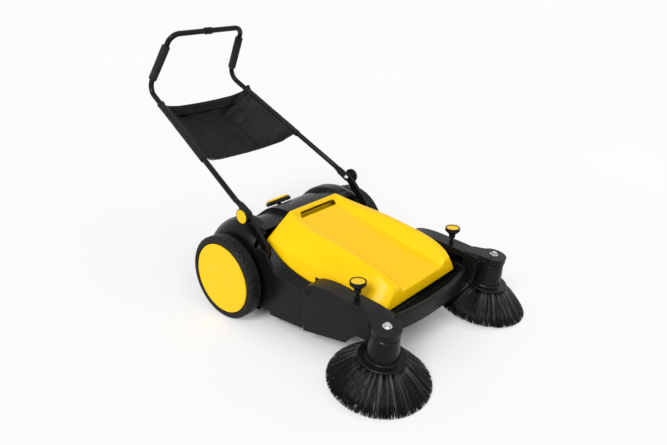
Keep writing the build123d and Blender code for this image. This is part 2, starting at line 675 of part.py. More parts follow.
def chassis_band(inset):
    """Sloping shoulder between the side wall and the hopper well, as a solid wedge."""
    floor_z = 150.0
    outer_curve = [
        (forward(90.0), 268.0 - inset),
        (forward(135.0), 232.0 - inset),
        (forward(189.0), 203.0 - inset),
        (forward(250.0), 191.0 - inset),
        (forward(335.0), 186.0 - inset),
    ]
    inner_curve = [
        (forward(90.0), 300.0 - inset),
        (forward(135.0), 272.0 - inset),
        (forward(214.0), 222.0 - inset),
        (forward(270.0), 207.0 - inset),
        (forward(335.0), 197.0 - inset),
    ]
    outer = Plane.YZ.offset(CHASSIS_HALF - inset) * curve_face(outer_curve, floor_z)
    inner = Plane.YZ.offset(ARM_INNER_X + 3.0 - inset) * curve_face(inner_curve, floor_z)
    return loft([inner, outer])


def bracket_run(grow, start, end):
    length = math.dist(start, end)
    slope = math.degrees(math.atan2(end[1] - start[1], end[0] - start[0]))
    bar = SlotCenterToCenter(length, FLAT_WIDTH + 2 * grow)
    return Pos((start[0] + end[0]) / 2, (start[1] + end[1]) / 2) * Rot(0, 0, slope) * bar


def bracket_outline(grow):
    """Lower handle bracket in (y, z): from the fold to a knee, then down to its foot."""
    knee = (forward(BRACKET_KNEE_FORWARD), BRACKET_KNEE_Z)
    foot = (forward(BRACKET_FOOT_FORWARD), BRACKET_FOOT_Z)
    return bracket_run(grow, knee, (FOLD_Y, FOLD_Z)) + bracket_run(grow, foot, knee)


def bracket_x():
    inner = FOLD_X - FLAT_THICK / 2 + SEAT_GAP
    return inner, inner + BRACKET_THICK


def bracket_hole_places():
    knee = (forward(BRACKET_KNEE_FORWARD), BRACKET_KNEE_Z)
    foot = (forward(BRACKET_FOOT_FORWARD), BRACKET_FOOT_Z)
    share = 0.55
    upper = (foot[0] + share * (knee[0] - foot[0]), foot[1] + share * (knee[1] - foot[1]))
    return foot, upper


def well_wall():
    """Side of the hopper well, on the plus X side."""
    profile = closed_face([
        (forward(600.0), 168.0),
        (forward(560.0), 128.0),
        (forward(480.0), 80.0),
        (forward(400.0), 52.0),
        (forward(60.0), 30.0),
        (forward(56.0), 120.0),
        (forward(56.0), LAYSHAFT_Z + 22.0),
        (forward(104.0), LAYSHAFT_Z + 22.0),
        (forward(112.0), SEAT_Z),
        (forward(584.0), SEAT_Z),
        (forward(600.0), SEAT_Z - 10.0),
    ])
    return slab_x(profile, WELL_HALF, WELL_HALF + WELL_WALL)


def chassis_part():
    outer_in = CHASSIS_HALF - CHASSIS_WALL
    ring = WHEEL_RADIUS - 1.8
    drum = Pos(AXLE_Y, WHEEL_RADIUS) * Circle(ring)
    low = closed_face([
        (forward(90.0), 52.0),
        (forward(128.0), 36.0),
        (forward(310.0), 50.0),
        (forward(ARM_PIVOT_FORWARD), ARM_PIVOT_Z - 40.0),
        (forward(ARM_PIVOT_FORWARD), ARM_PIVOT_Z - 20.0),
        (forward(335.0), 190.0),
        (forward(185.0), 205.0),
        (forward(145.0), 270.0),
        (forward(112.0), 275.0),
        (forward(91.0), 268.0),
        (forward(40.0), 262.0),
        (forward(0.0), 52.0),
    ])
    ear = Pos(ARM_PIVOT_Y, ARM_PIVOT_Z - 3.5) * Circle(11.0)
    neck = closed_face([
        (forward(310.0), 60.0), (forward(310.0), 186.0),
        (ARM_PIVOT_Y, ARM_PIVOT_Z + 5.0), (ARM_PIVOT_Y - 10.0, ARM_PIVOT_Z - 8.0),
        (ARM_PIVOT_Y, ARM_PIVOT_Z - 60.0)])
    floor_cut = Pos(AXLE_Y + 40.0, 0) * Rectangle(400.0, 104.0)
    side = drum + low + ear + neck - floor_cut
    wall = slab_x(side, outer_in, CHASSIS_HALF)

    shoulder = chassis_band(0.0) - Pos(-CHASSIS_WALL, 0, -CHASSIS_WALL) * chassis_band(0.0)
    keep = Pos((ARM_INNER_X + CHASSIS_HALF) / 2 + 1.5, forward(210.5), 250.0)
    shoulder = shoulder & (keep * Box(CHASSIS_HALF - ARM_INNER_X - 3.0, 231.0, 200.0))
    seat = Pos((WELL_HALF + ARM_INNER_X + 8.0) / 2, forward(220.0), SEAT_Z - CHASSIS_WALL / 2)
    shelf = seat * Box(ARM_INNER_X + 8.0 - WELL_HALF, 230.0, CHASSIS_WALL)
    flange_face = curve_face([
        (forward(106.0), 284.0),
        (forward(135.0), 266.0),
        (forward(214.0), 217.0),
        (forward(270.0), 202.0),
        (forward(326.0), 193.0),
    ], SEAT_Z - CHASSIS_WALL)
    flange = slab_x(flange_face, ARM_INNER_X + 3.0, ARM_INNER_X + 3.0 + CHASSIS_WALL)

    inner_wall = well_wall()
    pivot_post = slab_x(
        Pos(ARM_PIVOT_Y, ARM_PIVOT_Z - 5.0) * Rectangle(32.0, 34.0), POST_IN_X, POST_OUT_X)
    pivot_post += slab_x(
        Pos(ARM_PIVOT_Y, SEAT_Z - CHASSIS_WALL / 2) * Rectangle(32.0, CHASSIS_WALL), WELL_HALF, POST_OUT_X)
    half = wall + shoulder + shelf + flange + inner_wall + pivot_post
    half += slab_x(
        closed_face([
            (forward(100.0), 34.0), (forward(60.0), 26.0), (forward(60.0), 31.0), (forward(100.0), 39.0)]),
        0.0, outer_in + 1.0)
    half += slab_x(
        closed_face([
            (backward(140.0), 84.0), (backward(150.0), 84.0), (backward(150.0), 108.0), (backward(140.0), 108.0)]),
        0.0, outer_in + 1.0)
    half -= slab_x(bracket_outline(1.0), bracket_x()[0] - 7.0, bracket_x()[1] + 1.0)
    for y, z in bracket_hole_places():
        half += rod_x(9.0, bracket_x()[1], outer_in + 1.0, y, z)
        half -= rod_x(4.05, bracket_x()[1] - 1.0, outer_in - 1.0, y, z)
    half -= rod_x(LAYSHAFT_RADIUS + RUN_GAP, WELL_HALF - 1.0, CHASSIS_HALF + 1.0, LAYSHAFT_Y, LAYSHAFT_Z)
    half -= rod_x(STUB_RADIUS + 0.05, outer_in - 1.0, CHASSIS_HALF + 1.0, AXLE_Y, WHEEL_RADIUS)
    half -= rod_x(PIVOT_RADIUS + 0.05, WELL_HALF - 1.0, CHASSIS_HALF + 1.0, ARM_PIVOT_Y, ARM_PIVOT_Z)
    return half + mirrored(half)


def front_bumper_part():
    """Grip bar and finger trough across the front, slotted over the ends of the well walls."""
    cheek_in = WELL_HALF + WELL_WALL
    side_x = cheek_in + CHEEK_THICK
    rear = HOPPER_FRONT + 6.0
    bend_x = 205.0
    rim_out = ThreePointArc(
        (0, forward(FRONT_RIM_FORWARD)),
        (120.0, forward(FRONT_RIM_FORWARD - 7.0)),
        (bend_x, forward(FRONT_RIM_FORWARD - 24.0)))
    corner = ThreePointArc(
        (bend_x, forward(FRONT_RIM_FORWARD - 24.0)),
        (226.5, forward(FRONT_RIM_FORWARD - 35.0)),
        (side_x, forward(FRONT_RIM_FORWARD - 52.0)))
    back = Polyline(
        (side_x, forward(FRONT_RIM_FORWARD - 52.0)),
        (side_x, forward(rear)),
        (0, forward(rear)),
        (0, forward(FRONT_RIM_FORWARD)))
    plan = make_face([rim_out, corner] + back.edges())
    nose = Pos(0, 0, RIM_BOTTOM_Z) * extrude(plan, RIM_TOP_Z - RIM_BOTTOM_Z)
    nose = fillet(nose.edges().filter_by(GeomType.CIRCLE).group_by(Axis.Z)[-1], RIM_EDGE)
    trough = offset(plan + mirrored(plan), amount=-RIM_LIP, kind=Kind.INTERSECTION)
    open_rear = Rectangle(WELL_HALF + 20.0, 2 * RIM_LIP + 4.0)
    trough += Pos(WELL_HALF / 2 - 10.0, forward(rear)) * open_rear
    trough = trough & (Pos(100.0, forward(600.0)) * Rectangle(2 * (WELL_HALF - 106.0), 400.0))
    nose -= Pos(0, 0, TROUGH_Z) * extrude(trough, 100.0)
    under = offset(plan, amount=-RIM_WALL, kind=Kind.INTERSECTION)
    under += Pos(20.0, forward((FRONT_RIM_FORWARD + rear) / 2)) * Rectangle(
        60.0, FRONT_RIM_FORWARD - rear - 2 * RIM_WALL)
    nose -= Pos(0, 0, RIM_BOTTOM_Z - 1.0) * extrude(under, TROUGH_Z - 4.0 - RIM_BOTTOM_Z + 1.0)
    cheek_low = RIM_BOTTOM_Z + 10.0
    cheek_high = RIM_TOP_Z - 8.0
    cheek = Pos((cheek_in + side_x) / 2, forward((rear + 2.0 + CHEEK_REAR) / 2), (cheek_low + cheek_high) / 2)
    nose += cheek * Box(CHEEK_THICK, rear + 2.0 - CHEEK_REAR, cheek_high - cheek_low)
    nose -= well_wall()
    return nose + mirrored(nose)


def deck_shape(inset):
    """Rear cover as a solid; called again with an inset for its hollow."""
    front = forward(93.0) - inset
    rear = backward(CHASSIS_REAR) - inset

    def deck_face(drop):
        top = [
            (front, DECK_TOP_Z + 12.0 - drop - inset),
            (forward(45.0), DECK_TOP_Z + 16.0 - drop - inset),
            (backward(33.0) - 0.4 * inset, DECK_TOP_Z - drop - 0.9 * inset),
            (backward(77.0) - 0.5 * inset, DECK_TOP_Z - 31.0 - drop - 0.8 * inset),
            (backward(125.0) - 0.8 * inset, DECK_TOP_Z - 72.0 - drop - 0.6 * inset),
            (rear, DECK_TOP_Z - 140.0 - drop),
        ]
        return curve_face(top, 112.0 - inset)

    body = slab_x(deck_face(PLATEAU_RISE), -DECK_HALF + inset, DECK_HALF - inset)
    body += slab_x(deck_face(0.0), -PLATEAU_HALF + inset, PLATEAU_HALF - inset)
    radius = FENDER_RADIUS - inset
    arch = turned_x([
        (FENDER_INNER_X + inset, 0.0),
        (FENDER_INNER_X + inset, radius - 10.0),
        (FENDER_INNER_X + inset + 6.0, radius - 3.0),
        (FENDER_INNER_X + inset + 16.0, radius),
        (CHASSIS_HALF - 52.0 - inset, radius),
        (CHASSIS_HALF - 32.0 - inset, radius - 5.0),
        (CHASSIS_HALF - 14.0 - inset, radius - 15.0),
        (CHASSIS_HALF - 3.0 - inset, radius - 26.0),
        (CHASSIS_HALF - inset, radius - 32.0),
        (CHASSIS_HALF - inset, 0.0),
    ], AXLE_Y, WHEEL_RADIUS)
    size = 600.0
    keep_low = WHEEL_RADIUS - 2.0 - 2 * inset
    keep = Pos(0, (front + rear) / 2, keep_low + size / 2) * Box(1000.0, rear - front, size)
    arch = arch & keep
    return body + arch + mirrored(arch)


def deck_part():
    deck = deck_shape(0.0) - deck_shape(WALL)
    front_open = Pos(0, forward(95.0), 180.0)
    deck -= front_open * Box(2 * DECK_HALF + 120.0, 16.0, 2 * (DECK_TOP_Z - PLATEAU_RISE - 6.0 - 180.0))
    for side in (1, -1):
        ring = WHEEL_RADIUS - 1.8 + SEAT_GAP
        x_low = CHASSIS_HALF - CHASSIS_WALL - SEAT_GAP
        seat = rod_x(ring, side * x_low, side * (CHASSIS_HALF + 5.0), AXLE_Y, WHEEL_RADIUS)
        deck -= seat
        low, high = bracket_x()
        slot = slab_x(bracket_outline(1.0), low - 1.0, high + 1.0)
        deck -= slot if side > 0 else mirrored(slot)
        shaft = rod_x(LAYSHAFT_RADIUS + 4.0, side * WELL_HALF, side * 320.0, LAYSHAFT_Y, LAYSHAFT_Z)
        deck -= shaft
        side_x = (DECK_HALF - WALL + SWING_X) / 2
        deck -= Pos(side * side_x, backward(18.0), 120.0) * Box(14.0, 226.0, 130.0)
    boss = DIAL_FRAME * Pos(0, 0, -16.0) * Cylinder(DIAL_STEM_RADIUS + 6.0, 26.0)
    deck += boss & deck_shape(0.5)
    deck -= DIAL_FRAME * Cylinder(DIAL_STEM_RADIUS + RUN_GAP, 120.0)
    return deck


def dial_parts():
    low = 1.5
    high = low + DIAL_THICK
    body = turned_z([
        (0, low),
        (DIAL_RADIUS - 4.0, low),
        (DIAL_RADIUS, low + 4.0),
        (DIAL_RADIUS, high - 5.0),
        (DIAL_RADIUS - 4.0, high),
        (0, high),
    ])
    body += Pos(0, 0, low - 30.0) * Cylinder(DIAL_STEM_RADIUS, 60.0)
    cap = turned_z([
        (0, high),
        (DIAL_CAP_RADIUS, high),
        (DIAL_CAP_RADIUS, high + DIAL_CAP_THICK - 4.0),
        (DIAL_CAP_RADIUS - 4.0, high + DIAL_CAP_THICK - 1.0),
        (DIAL_CAP_RADIUS - 14.0, high + DIAL_CAP_THICK),
        (0, high + DIAL_CAP_THICK),
    ])
    return DIAL_FRAME * body, DIAL_FRAME * cap


def cover_section(distance, rail_x, rail_z, shoulder_x, shoulder_z, edge_x, edge_z, inset):
    """One cross-section of the hopper cover, in (x, z), at a distance ahead of the axle."""
    points = [
        (rail_x - 0.4 * inset, rail_z - inset),
        (shoulder_x - inset, shoulder_z - 0.4 * inset),
        (edge_x - inset, edge_z - inset),
    ]
    outline = [(-x, z) for x, z in reversed(points)] + points
    return Plane.XZ.offset(-forward(distance)) * closed_face(outline)


def cover_shape(inset):
    rear = HOPPER_REAR + inset
    front = HOPPER_FRONT - inset
    stations = [
        (rear, 121.0, HOPPER_TOP_Z, 230.0, 288.0, 234.5, 270.0),
        (150.0, 138.0, 341.0, 225.0, 276.0, 234.5, 245.0),
        (205.0, 150.0, 331.0, 219.0, 259.0, 234.5, 220.0),
        (290.0, 157.0, 322.0, 216.0, 247.0, 234.0, 199.0),
        (380.0, 160.0, 310.0, 213.0, 236.0, 233.0, 193.0),
        (465.0, 163.0, 294.0, 210.0, 226.0, 229.0, 189.5),
        (540.0, 164.0, 268.0, 203.0, 212.0, 218.0, 187.0),
        (front, 158.0, 238.0, 186.0, 200.0, 196.0, 178.0),
    ]
    shape = loft([cover_section(*station, inset) for station in stations])
    half_run = (HOPPER_FRONT - HOPPER_REAR) / 2
    lengthwise = shape.edges().filter_by(lambda edge: edge.bounding_box().size.Y > half_run)
    shape = fillet(lengthwise.sort_by(Axis.Z)[2:], COVER_ROUND - inset)
    face_y = forward(front)
    nose = shape.edges().filter_by_position(Axis.Y, face_y - 0.1, face_y + 0.1)
    return fillet(nose.sort_by(Axis.Z)[1:], FRONT_ROUND - inset)


def valley_shape(drop):
    """Recess in the cover: sloping floor, drafted sides and a sloped rear wall."""
    slope = 46.0

    def section(distance, half, floor_z):
        return Plane.XZ.offset(-forward(distance)) * closed_face([
            (-half, floor_z), (half, floor_z),
            (half + slope, floor_z + slope + 14.0), (half + slope, floor_z + 140.0),
            (-half - slope, floor_z + 140.0), (-half - slope, floor_z + slope + 14.0)])

    rear = 131.0
    fall = (VALLEY_REAR_Z - VALLEY_FRONT_Z) / (HOPPER_FRONT - rear)
    past = 40.0
    back = 40.0
    sides = loft([
        section(rear - back, VALLEY_HALF - 8.0, VALLEY_REAR_Z + back * fall - drop),
        section(HOPPER_FRONT + past, VALLEY_HALF + 6.0, VALLEY_FRONT_Z - past * fall - drop),
    ])
    wall_run = 24.0
    lengthwise = closed_face([
        (forward(rear), VALLEY_REAR_Z - 60.0),
        (forward(rear), VALLEY_REAR_Z - drop),
        (forward(rear - wall_run), HOPPER_TOP_Z + 2.0),
        (forward(rear - wall_run), HOPPER_TOP_Z + 90.0),
        (forward(HOPPER_FRONT + past), HOPPER_TOP_Z + 90.0),
        (forward(HOPPER_FRONT + past), VALLEY_FRONT_Z - 120.0),
    ])
    recess = sides & slab_x(lengthwise, -300.0, 300.0)

    def is_inner(edge):
        middle = edge.center()
        return abs(middle.X) < VALLEY_HALF + slope / 2 and middle.Y > forward(HOPPER_FRONT) and (
            middle.Z < HOPPER_TOP_Z - 10.0)

    return fillet(recess.edges().filter_by(is_inner), VALLEY_ROUND + drop)


def cover_part():
    outer = cover_shape(0.0) - valley_shape(0.0)

    def is_rim(edge):
        middle = edge.center()
        return edge.length > HOPPER_FRONT / 2 and VALLEY_HALF + 12.0 < abs(middle.X) < VALLEY_HALF + 34.0

    outer = fillet(outer.edges().filter_by(is_rim), RIM_ROUND)
    inner = cover_shape(COVER_WALL) - valley_shape(COVER_WALL)
    below = Pos(0, forward(340.0), 160.0)
    inner_open = inner + (below * Box(380.0, 420.0, 60.0))
    shell = outer - inner_open
    arch = Pos(0, VALLEY_REAR_Z + 3.0) * Rectangle(
        GRIP_SLOT_WIDTH, GRIP_SLOT_HEIGHT, align=(Align.CENTER, Align.MIN))
    arch = fillet(arch.vertices().group_by(Axis.Y)[-1], GRIP_SLOT_HEIGHT * 0.6)
    slot = extrude(Plane.XZ.offset(-forward(HOPPER_REAR - 2.0)) * arch, 50.0)
    return shell - slot


def bin_part(cover):
    rear = forward(112.0)
    front = forward(HOPPER_FRONT - 12.0)
    side = closed_face([
        (rear, BIN_FLOOR_Z),
        (forward(430.0), BIN_FLOOR_Z + 8.0),
        (front, BIN_FLOOR_Z + 72.0),
        (front, SEAT_Z + 1.0),
        (forward(300.0), SEAT_Z + 9.0),
        (forward(205.0), SEAT_Z + 32.0),
        (rear, SEAT_Z + 72.0),
    ])
    front_half = 182.0
    plan = closed_face([
        (-BIN_HALF, rear + 1.0), (BIN_HALF, rear + 1.0), (BIN_HALF, forward(470.0)),
        (front_half, front), (-front_half, front), (-BIN_HALF, forward(470.0))])
    block = slab_x(side, -BIN_HALF, BIN_HALF) & extrude(plan, 600.0)
    inside = offset(plan, amount=-BIN_WALL, kind=Kind.INTERSECTION)
    inside += Pos(0, rear) * Rectangle(2 * (BIN_HALF - BIN_WALL), 40.0)
    hollow = extrude(inside, 600.0) & slab_x(
        closed_face([
            (rear + 40.0, BIN_FLOOR_Z + BIN_WALL),
            (forward(430.0), BIN_FLOOR_Z + 8.0 + BIN_WALL),
            (front, BIN_FLOOR_Z + 72.0 + BIN_WALL),
            (front, 500.0),
            (rear + 40.0, 500.0),
        ]), -BIN_HALF, BIN_HALF)
    tray = block - hollow
    lip = Pos(0, rear - BIN_WALL / 2, BIN_FLOOR_Z + 8.0) * Box(2 * BIN_HALF, BIN_WALL, 16.0)
    tray += lip & slab_x(side, -BIN_HALF, BIN_HALF)
    rail_x = (BIN_HALF + WELL_HALF + WELL_WALL - 1.0) / 2
    rail_width = WELL_HALF + WELL_WALL - 1.0 - BIN_HALF + 1.0
    for side_sign in (1, -1):
        tray += Pos(side_sign * rail_x, forward(245.0), SEAT_Z + 2.0) * Box(rail_width, 210.0, 4.0)
        for distance, top in ((205.0, 214.0), (290.0, 197.0)):
            tab_low = SEAT_Z + 2.0
            tab_x = (BIN_HALF + COVER_EDGE_X) / 2 - 1.0
            tab = Box(COVER_EDGE_X - BIN_HALF + 2.0, TAB_LENGTH, top - tab_low)
            tray += Pos(side_sign * tab_x, forward(distance), (tab_low + top) / 2) * tab - cover
    return tray


def handle_tube_part():
    start = FOLD_POINT + TUBE_RUN * (FLAT_LENGTH + FLAT_BLEND)
    middle = Vector(SLEEVE_LENGTH / 6, backward(TOP_BACK), TOP_Z)
    path = FilletPolyline(start, BEND_POINT, TOP_POINT, middle, radius=BEND_RADIUS)
    ring = Circle(TUBE_RADIUS) - Circle(TUBE_RADIUS - TUBE_WALL)
    tube = sweep(Plane(origin=start, z_dir=TUBE_RUN) * ring, path=path)

    run_y = TUBE_RUN.Y / math.hypot(TUBE_RUN.Y, TUBE_RUN.Z)
    run_z = TUBE_RUN.Z / math.hypot(TUBE_RUN.Y, TUBE_RUN.Z)
    flat_x = FOLD_X - FLAT_THICK
    flat_mid = Vector(flat_x, FOLD_Y + run_y * FLAT_LENGTH, FOLD_Z + run_z * FLAT_LENGTH)
    flat_plane = Plane(origin=flat_mid, x_dir=(1, 0, 0), z_dir=(0, run_y, run_z))
    tube_plane = Plane(origin=start, x_dir=(1, 0, 0), z_dir=TUBE_RUN)
    blend = loft([
        flat_plane * RectangleRounded(FLAT_THICK, FLAT_WIDTH, FLAT_THICK / 2 - 0.1),
        tube_plane * Circle(TUBE_RADIUS),
    ])
    slope = math.degrees(math.atan2(run_z, run_y))
    tongue = Pos(FOLD_Y, FOLD_Z) * Rot(0, 0, slope) * (
        Circle(FLAT_WIDTH / 2) + Pos(FLAT_LENGTH / 2, 0) * Rectangle(FLAT_LENGTH, FLAT_WIDTH))
    tongue -= Pos(FOLD_Y, FOLD_Z) * Circle(FOLD_BOLT_RADIUS + RUN_GAP)
    flat = slab_x(tongue, flat_x - FLAT_THICK / 2, flat_x + FLAT_THICK / 2)
    return tube + blend + flat


def grip_part():
    start = BEND_POINT + GRIP_RUN * GRIP_START
    foam = Circle(GRIP_RADIUS) - Circle(TUBE_RADIUS + 0.1)
    return extrude(Plane(origin=start, z_dir=GRIP_RUN) * foam, GRIP_LENGTH)


def sleeve_part():
    y = backward(TOP_BACK)
    sleeve = rod_x(SLEEVE_RADIUS, -SLEEVE_LENGTH / 2, SLEEVE_LENGTH / 2, y, TOP_Z)
    return sleeve - rod_x(TUBE_RADIUS + 0.1, -SLEEVE_LENGTH, SLEEVE_LENGTH, y, TOP_Z)


def bag_part():
    """Open pouch hung between sleeves on the two handle tubes."""
    def half_at(distance):
        return FOLD_X + TUBE_RUN.X * distance

    end = BAG_START + BAG_LENGTH
    base = Vector(0, FOLD_Y, FOLD_Z)
    along = Vector(0, TUBE_RUN.Y, TUBE_RUN.Z).normalized()
    plane = Plane(origin=base, x_dir=(1, 0, 0), z_dir=Vector(1, 0, 0).cross(along))

    def layer(depth, side_inset, end_inset):
        near = half_at(BAG_START) - side_inset
        far = half_at(end) - side_inset
        face = closed_face([
            (-near, BAG_START + end_inset), (near, BAG_START + end_inset),
            (far, end - end_inset), (-far, end - end_inset)])
        return plane.offset(-depth) * face

    rim = TUBE_RADIUS + 1.0
    outer = loft([layer(-4.0, rim, 0.0), layer(BAG_DEPTH, rim + BAG_INSET, BAG_INSET / 2)])
    inner = loft([
        layer(-5.0, rim + BAG_WALL, BAG_WALL),
        layer(BAG_DEPTH - BAG_WALL, rim + BAG_INSET + BAG_WALL / 2, BAG_INSET / 2 + BAG_WALL)])
    pouch = outer - inner
    for side in (1, -1):
        foot = Vector(side * FOLD_X, FOLD_Y, FOLD_Z)
        run = Vector(side * TUBE_RUN.X, TUBE_RUN.Y, TUBE_RUN.Z)
        ends = Plane(origin=foot + run * BAG_START, z_dir=run)
        hole = TUBE_RADIUS + SEAT_GAP
        pouch += extrude(ends * Circle(hole + BAG_SLEEVE_WALL), BAG_LENGTH)
        pouch -= extrude(ends * Circle(hole), BAG_LENGTH)
    return pouch


def bracket_part():
    low, high = bracket_x()
    bar = slab_x(bracket_outline(0.0), low, high)
    bar -= rod_x(FOLD_BOLT_RADIUS + 0.05, low - 1.0, high + 1.0, FOLD_Y, FOLD_Z)
    for y, z in bracket_hole_places():
        bar -= rod_x(4.05, low - 1.0, high + 1.0, y, z)
    return bar


def fold_bolt_part():
    head_x = FOLD_X - FLAT_THICK * 1.5 - RUN_GAP
    end_x = bracket_x()[1] + CLAMP_KNOB_THICK - CLAMP_CAP_THICK
    return turned_x([
        (head_x - 6.0, 0),
        (head_x - 4.5, 6.0),
        (head_x, 10.0),
        (head_x, FOLD_BOLT_RADIUS),
        (end_x, FOLD_BOLT_RADIUS),
        (end_x, 0),
    ], FOLD_Y, FOLD_Z)


def clamp_knob_parts():
    low = bracket_x()[1] + RUN_GAP
    high = low + CLAMP_KNOB_THICK
    bore = FOLD_BOLT_RADIUS + RUN_GAP
    floor = high - CLAMP_CAP_THICK + 1.0
    body = turned_x([
        (low, bore),
        (low, 14.0),
        (low + 5.0, 15.0),
        (low + 8.0, CLAMP_KNOB_RADIUS),
        (high - 2.0, CLAMP_KNOB_RADIUS),
        (high, CLAMP_KNOB_RADIUS - 2.0),
        (high, CLAMP_CAP_RADIUS + SEAT_GAP),
        (floor, CLAMP_CAP_RADIUS + SEAT_GAP),
        (floor, bore),
    ], FOLD_Y, FOLD_Z)
    cap = turned_x([
        (floor, 0),
        (floor, CLAMP_CAP_RADIUS),
        (high - 0.5, CLAMP_CAP_RADIUS),
        (high + 1.0, CLAMP_CAP_RADIUS - 2.0),
        (high + 1.0, 0),
    ], FOLD_Y, FOLD_Z)
    return body, cap


def pivot_bolts():
    """Outer shoulder bolt and inner stub of one arm pivot."""
    outer = turned_x([
        (CHASSIS_HALF - CHASSIS_WALL - 5.0, 0),
        (CHASSIS_HALF - CHASSIS_WALL - 5.0, PIVOT_RADIUS + 4.0),
        (CHASSIS_HALF - CHASSIS_WALL, PIVOT_RADIUS + 4.0),
        (CHASSIS_HALF - CHASSIS_WALL, PIVOT_RADIUS),
        (ARM_OUTER_X + 3.0 + RUN_GAP, PIVOT_RADIUS),
        (ARM_OUTER_X + 3.0 + RUN_GAP, PIVOT_RADIUS + 5.0),
        (ARM_OUTER_X + 6.0, PIVOT_RADIUS + 4.0),
        (ARM_OUTER_X + 8.0, 0),
    ], ARM_PIVOT_Y, ARM_PIVOT_Z)
    inner = turned_x([
        (POST_IN_X, 0),
        (POST_IN_X, PIVOT_RADIUS),
        (ARM_INNER_X + ARM_WALL + 2.0, PIVOT_RADIUS),
        (ARM_INNER_X + ARM_WALL + 2.0, 0),
    ], ARM_PIVOT_Y, ARM_PIVOT_Z)
    return [outer, inner]


def bracket_bolts():
    low, high = bracket_x()
    bolts = []
    for y, z in bracket_hole_places():
        bolts.append(turned_x([
            (low - 5.0, 0),
            (low - 5.0, 6.5),
            (low, 6.5),
            (low, 4.0),
            (CHASSIS_HALF - CHASSIS_WALL - 2.0, 4.0),
            (CHASSIS_HALF - CHASSIS_WALL - 2.0, 0),
        ], y, z))
    return bolts


def save(name, shape):
    pieces = shape if isinstance(shape, list) else [shape]
    solids = [solid for piece in pieces for solid in piece.solids()]
    body = solids[0] if len(solids) == 1 else Compound(children=solids)
    body.label = name
    export_step(body, os.path.join("parts", name + ".step"))


def save_pair(name, shape):
    pieces = shape if isinstance(shape, list) else [shape]
    save("left_" + name, pieces)
    save("right_" + name, [mirrored(piece) for piece in pieces])


def main():
    os.makedirs("parts", exist_ok=True)
    tyre, rim, wheel_cap, stub = wheel_parts()
    save_pair("tyre", tyre)
    save_pair("wheel_rim", rim)
    save_pair("wheel_cap", wheel_cap)
    save_pair("axle_stub", stub)
    save_pair("layshaft", layshaft_part())
    plate, bar, belt = swing_frame_parts()
    save_pair("swing_plate", plate)
    save("swing_tie_bar", bar)
    save_pair("roller_belt", belt)
    core, bristles, pulleys = roller_parts()
    save("roller_core", core)
    save("roller_bristles", bristles)
    save("roller_pulleys", pulleys)
    hub, ring, spindle = brush_parts()
    save_pair("brush_hub", hub)
    save_pair("brush_bristles", ring)
    save_pair("brush_spindle", spindle)
    save_pair("arm", arm_part())
    save_pair("brush_belt", brush_belt_part())
    knob, knob_cap, stem = height_knob_parts()
    save_pair("height_knob", knob)
    save_pair("height_knob_cap", knob_cap)
    save_pair("height_stem", stem)
    save("chassis", chassis_part())
    save("front_bumper", front_bumper_part())
    save("rear_deck", deck_part())
    dial, dial_cap = dial_parts()
    save("dial", dial)
    save("dial_cap", dial_cap)
    cover = cover_part()
    save("hopper_cover", cover)
    save("hopper_bin", bin_part(cover))
    save_pair("handle_tube", handle_tube_part())
    save_pair("grip", grip_part())
    save("handle_sleeve", sleeve_part())
    save("storage_bag", bag_part())
    save_pair("handle_bracket", bracket_part())
    save_pair("fold_bolt", fold_bolt_part())
    clamp, clamp_cap = clamp_knob_parts()
    save_pair("clamp_knob", clamp)
    save_pair("clamp_knob_cap", clamp_cap)
    pivots = pivot_bolts()
    save("arm_pivots", pivots + [mirrored(bolt) for bolt in pivots])
    bolts = bracket_bolts()
    save("bracket_bolts", bolts + [mirrored(bolt) for bolt in bolts])


if __name__ == "__main__":
    main()
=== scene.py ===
import json
import math
import random

import bpy
from mathutils import Matrix, Vector, noise


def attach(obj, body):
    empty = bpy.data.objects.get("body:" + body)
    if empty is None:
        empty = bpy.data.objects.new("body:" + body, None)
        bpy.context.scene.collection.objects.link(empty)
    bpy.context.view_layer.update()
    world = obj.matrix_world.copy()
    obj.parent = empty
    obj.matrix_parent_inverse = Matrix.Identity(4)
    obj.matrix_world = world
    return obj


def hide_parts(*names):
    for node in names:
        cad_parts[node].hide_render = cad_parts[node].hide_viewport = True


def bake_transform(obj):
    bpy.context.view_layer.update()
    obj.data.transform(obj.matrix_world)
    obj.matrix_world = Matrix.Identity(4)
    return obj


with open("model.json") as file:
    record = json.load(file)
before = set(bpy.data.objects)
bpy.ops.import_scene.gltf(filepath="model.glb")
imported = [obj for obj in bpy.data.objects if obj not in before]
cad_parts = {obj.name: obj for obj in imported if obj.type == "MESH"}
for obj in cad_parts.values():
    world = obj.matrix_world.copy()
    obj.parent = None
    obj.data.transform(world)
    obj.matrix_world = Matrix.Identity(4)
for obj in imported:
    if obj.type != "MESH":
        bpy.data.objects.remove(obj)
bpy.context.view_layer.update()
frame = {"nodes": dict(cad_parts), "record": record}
NODES = frame["nodes"]
SIDES = (("left", 1), ("right", -1))

# Places shared with the solids, in metres.
AXLE_Y = 0.11712
FOLD = Vector((0.264, AXLE_Y - 0.039, 0.370))
BEND = Vector((0.200, AXLE_Y + 0.571, 0.698))
TOP = Vector((0.167, AXLE_Y + 0.443, 0.905))
TUBE_RADIUS = 0.010
GRIP_RADIUS = 0.016
GRIP_START = 0.042
GRIP_LENGTH = 0.154
BAG_START = 0.286
BAG_LENGTH = 0.304
BAG_DEPTH = 0.066
BRUSH_LEAN = math.radians(8.0)
BRUSH_SPLAY = math.radians(3.0)
BRUSH_RADIUS = 0.160
BRUSH_CENTRE = (0.300, AXLE_Y - 0.640)
BRISTLE_HEIGHT = 0.086
ROLLER_AXIS = Vector((0.0, AXLE_Y + 0.045, 0.092))
ROLLER_RADIUS = 0.092
ROLLER_CORE = 0.034
ROLLER_HALF = 0.218
ROLLER_ROWS = 8
ROLLER_TWIST = math.radians(60.0)


# Materials. Scales are in pattern repeats per metre, depths and radii in metres.

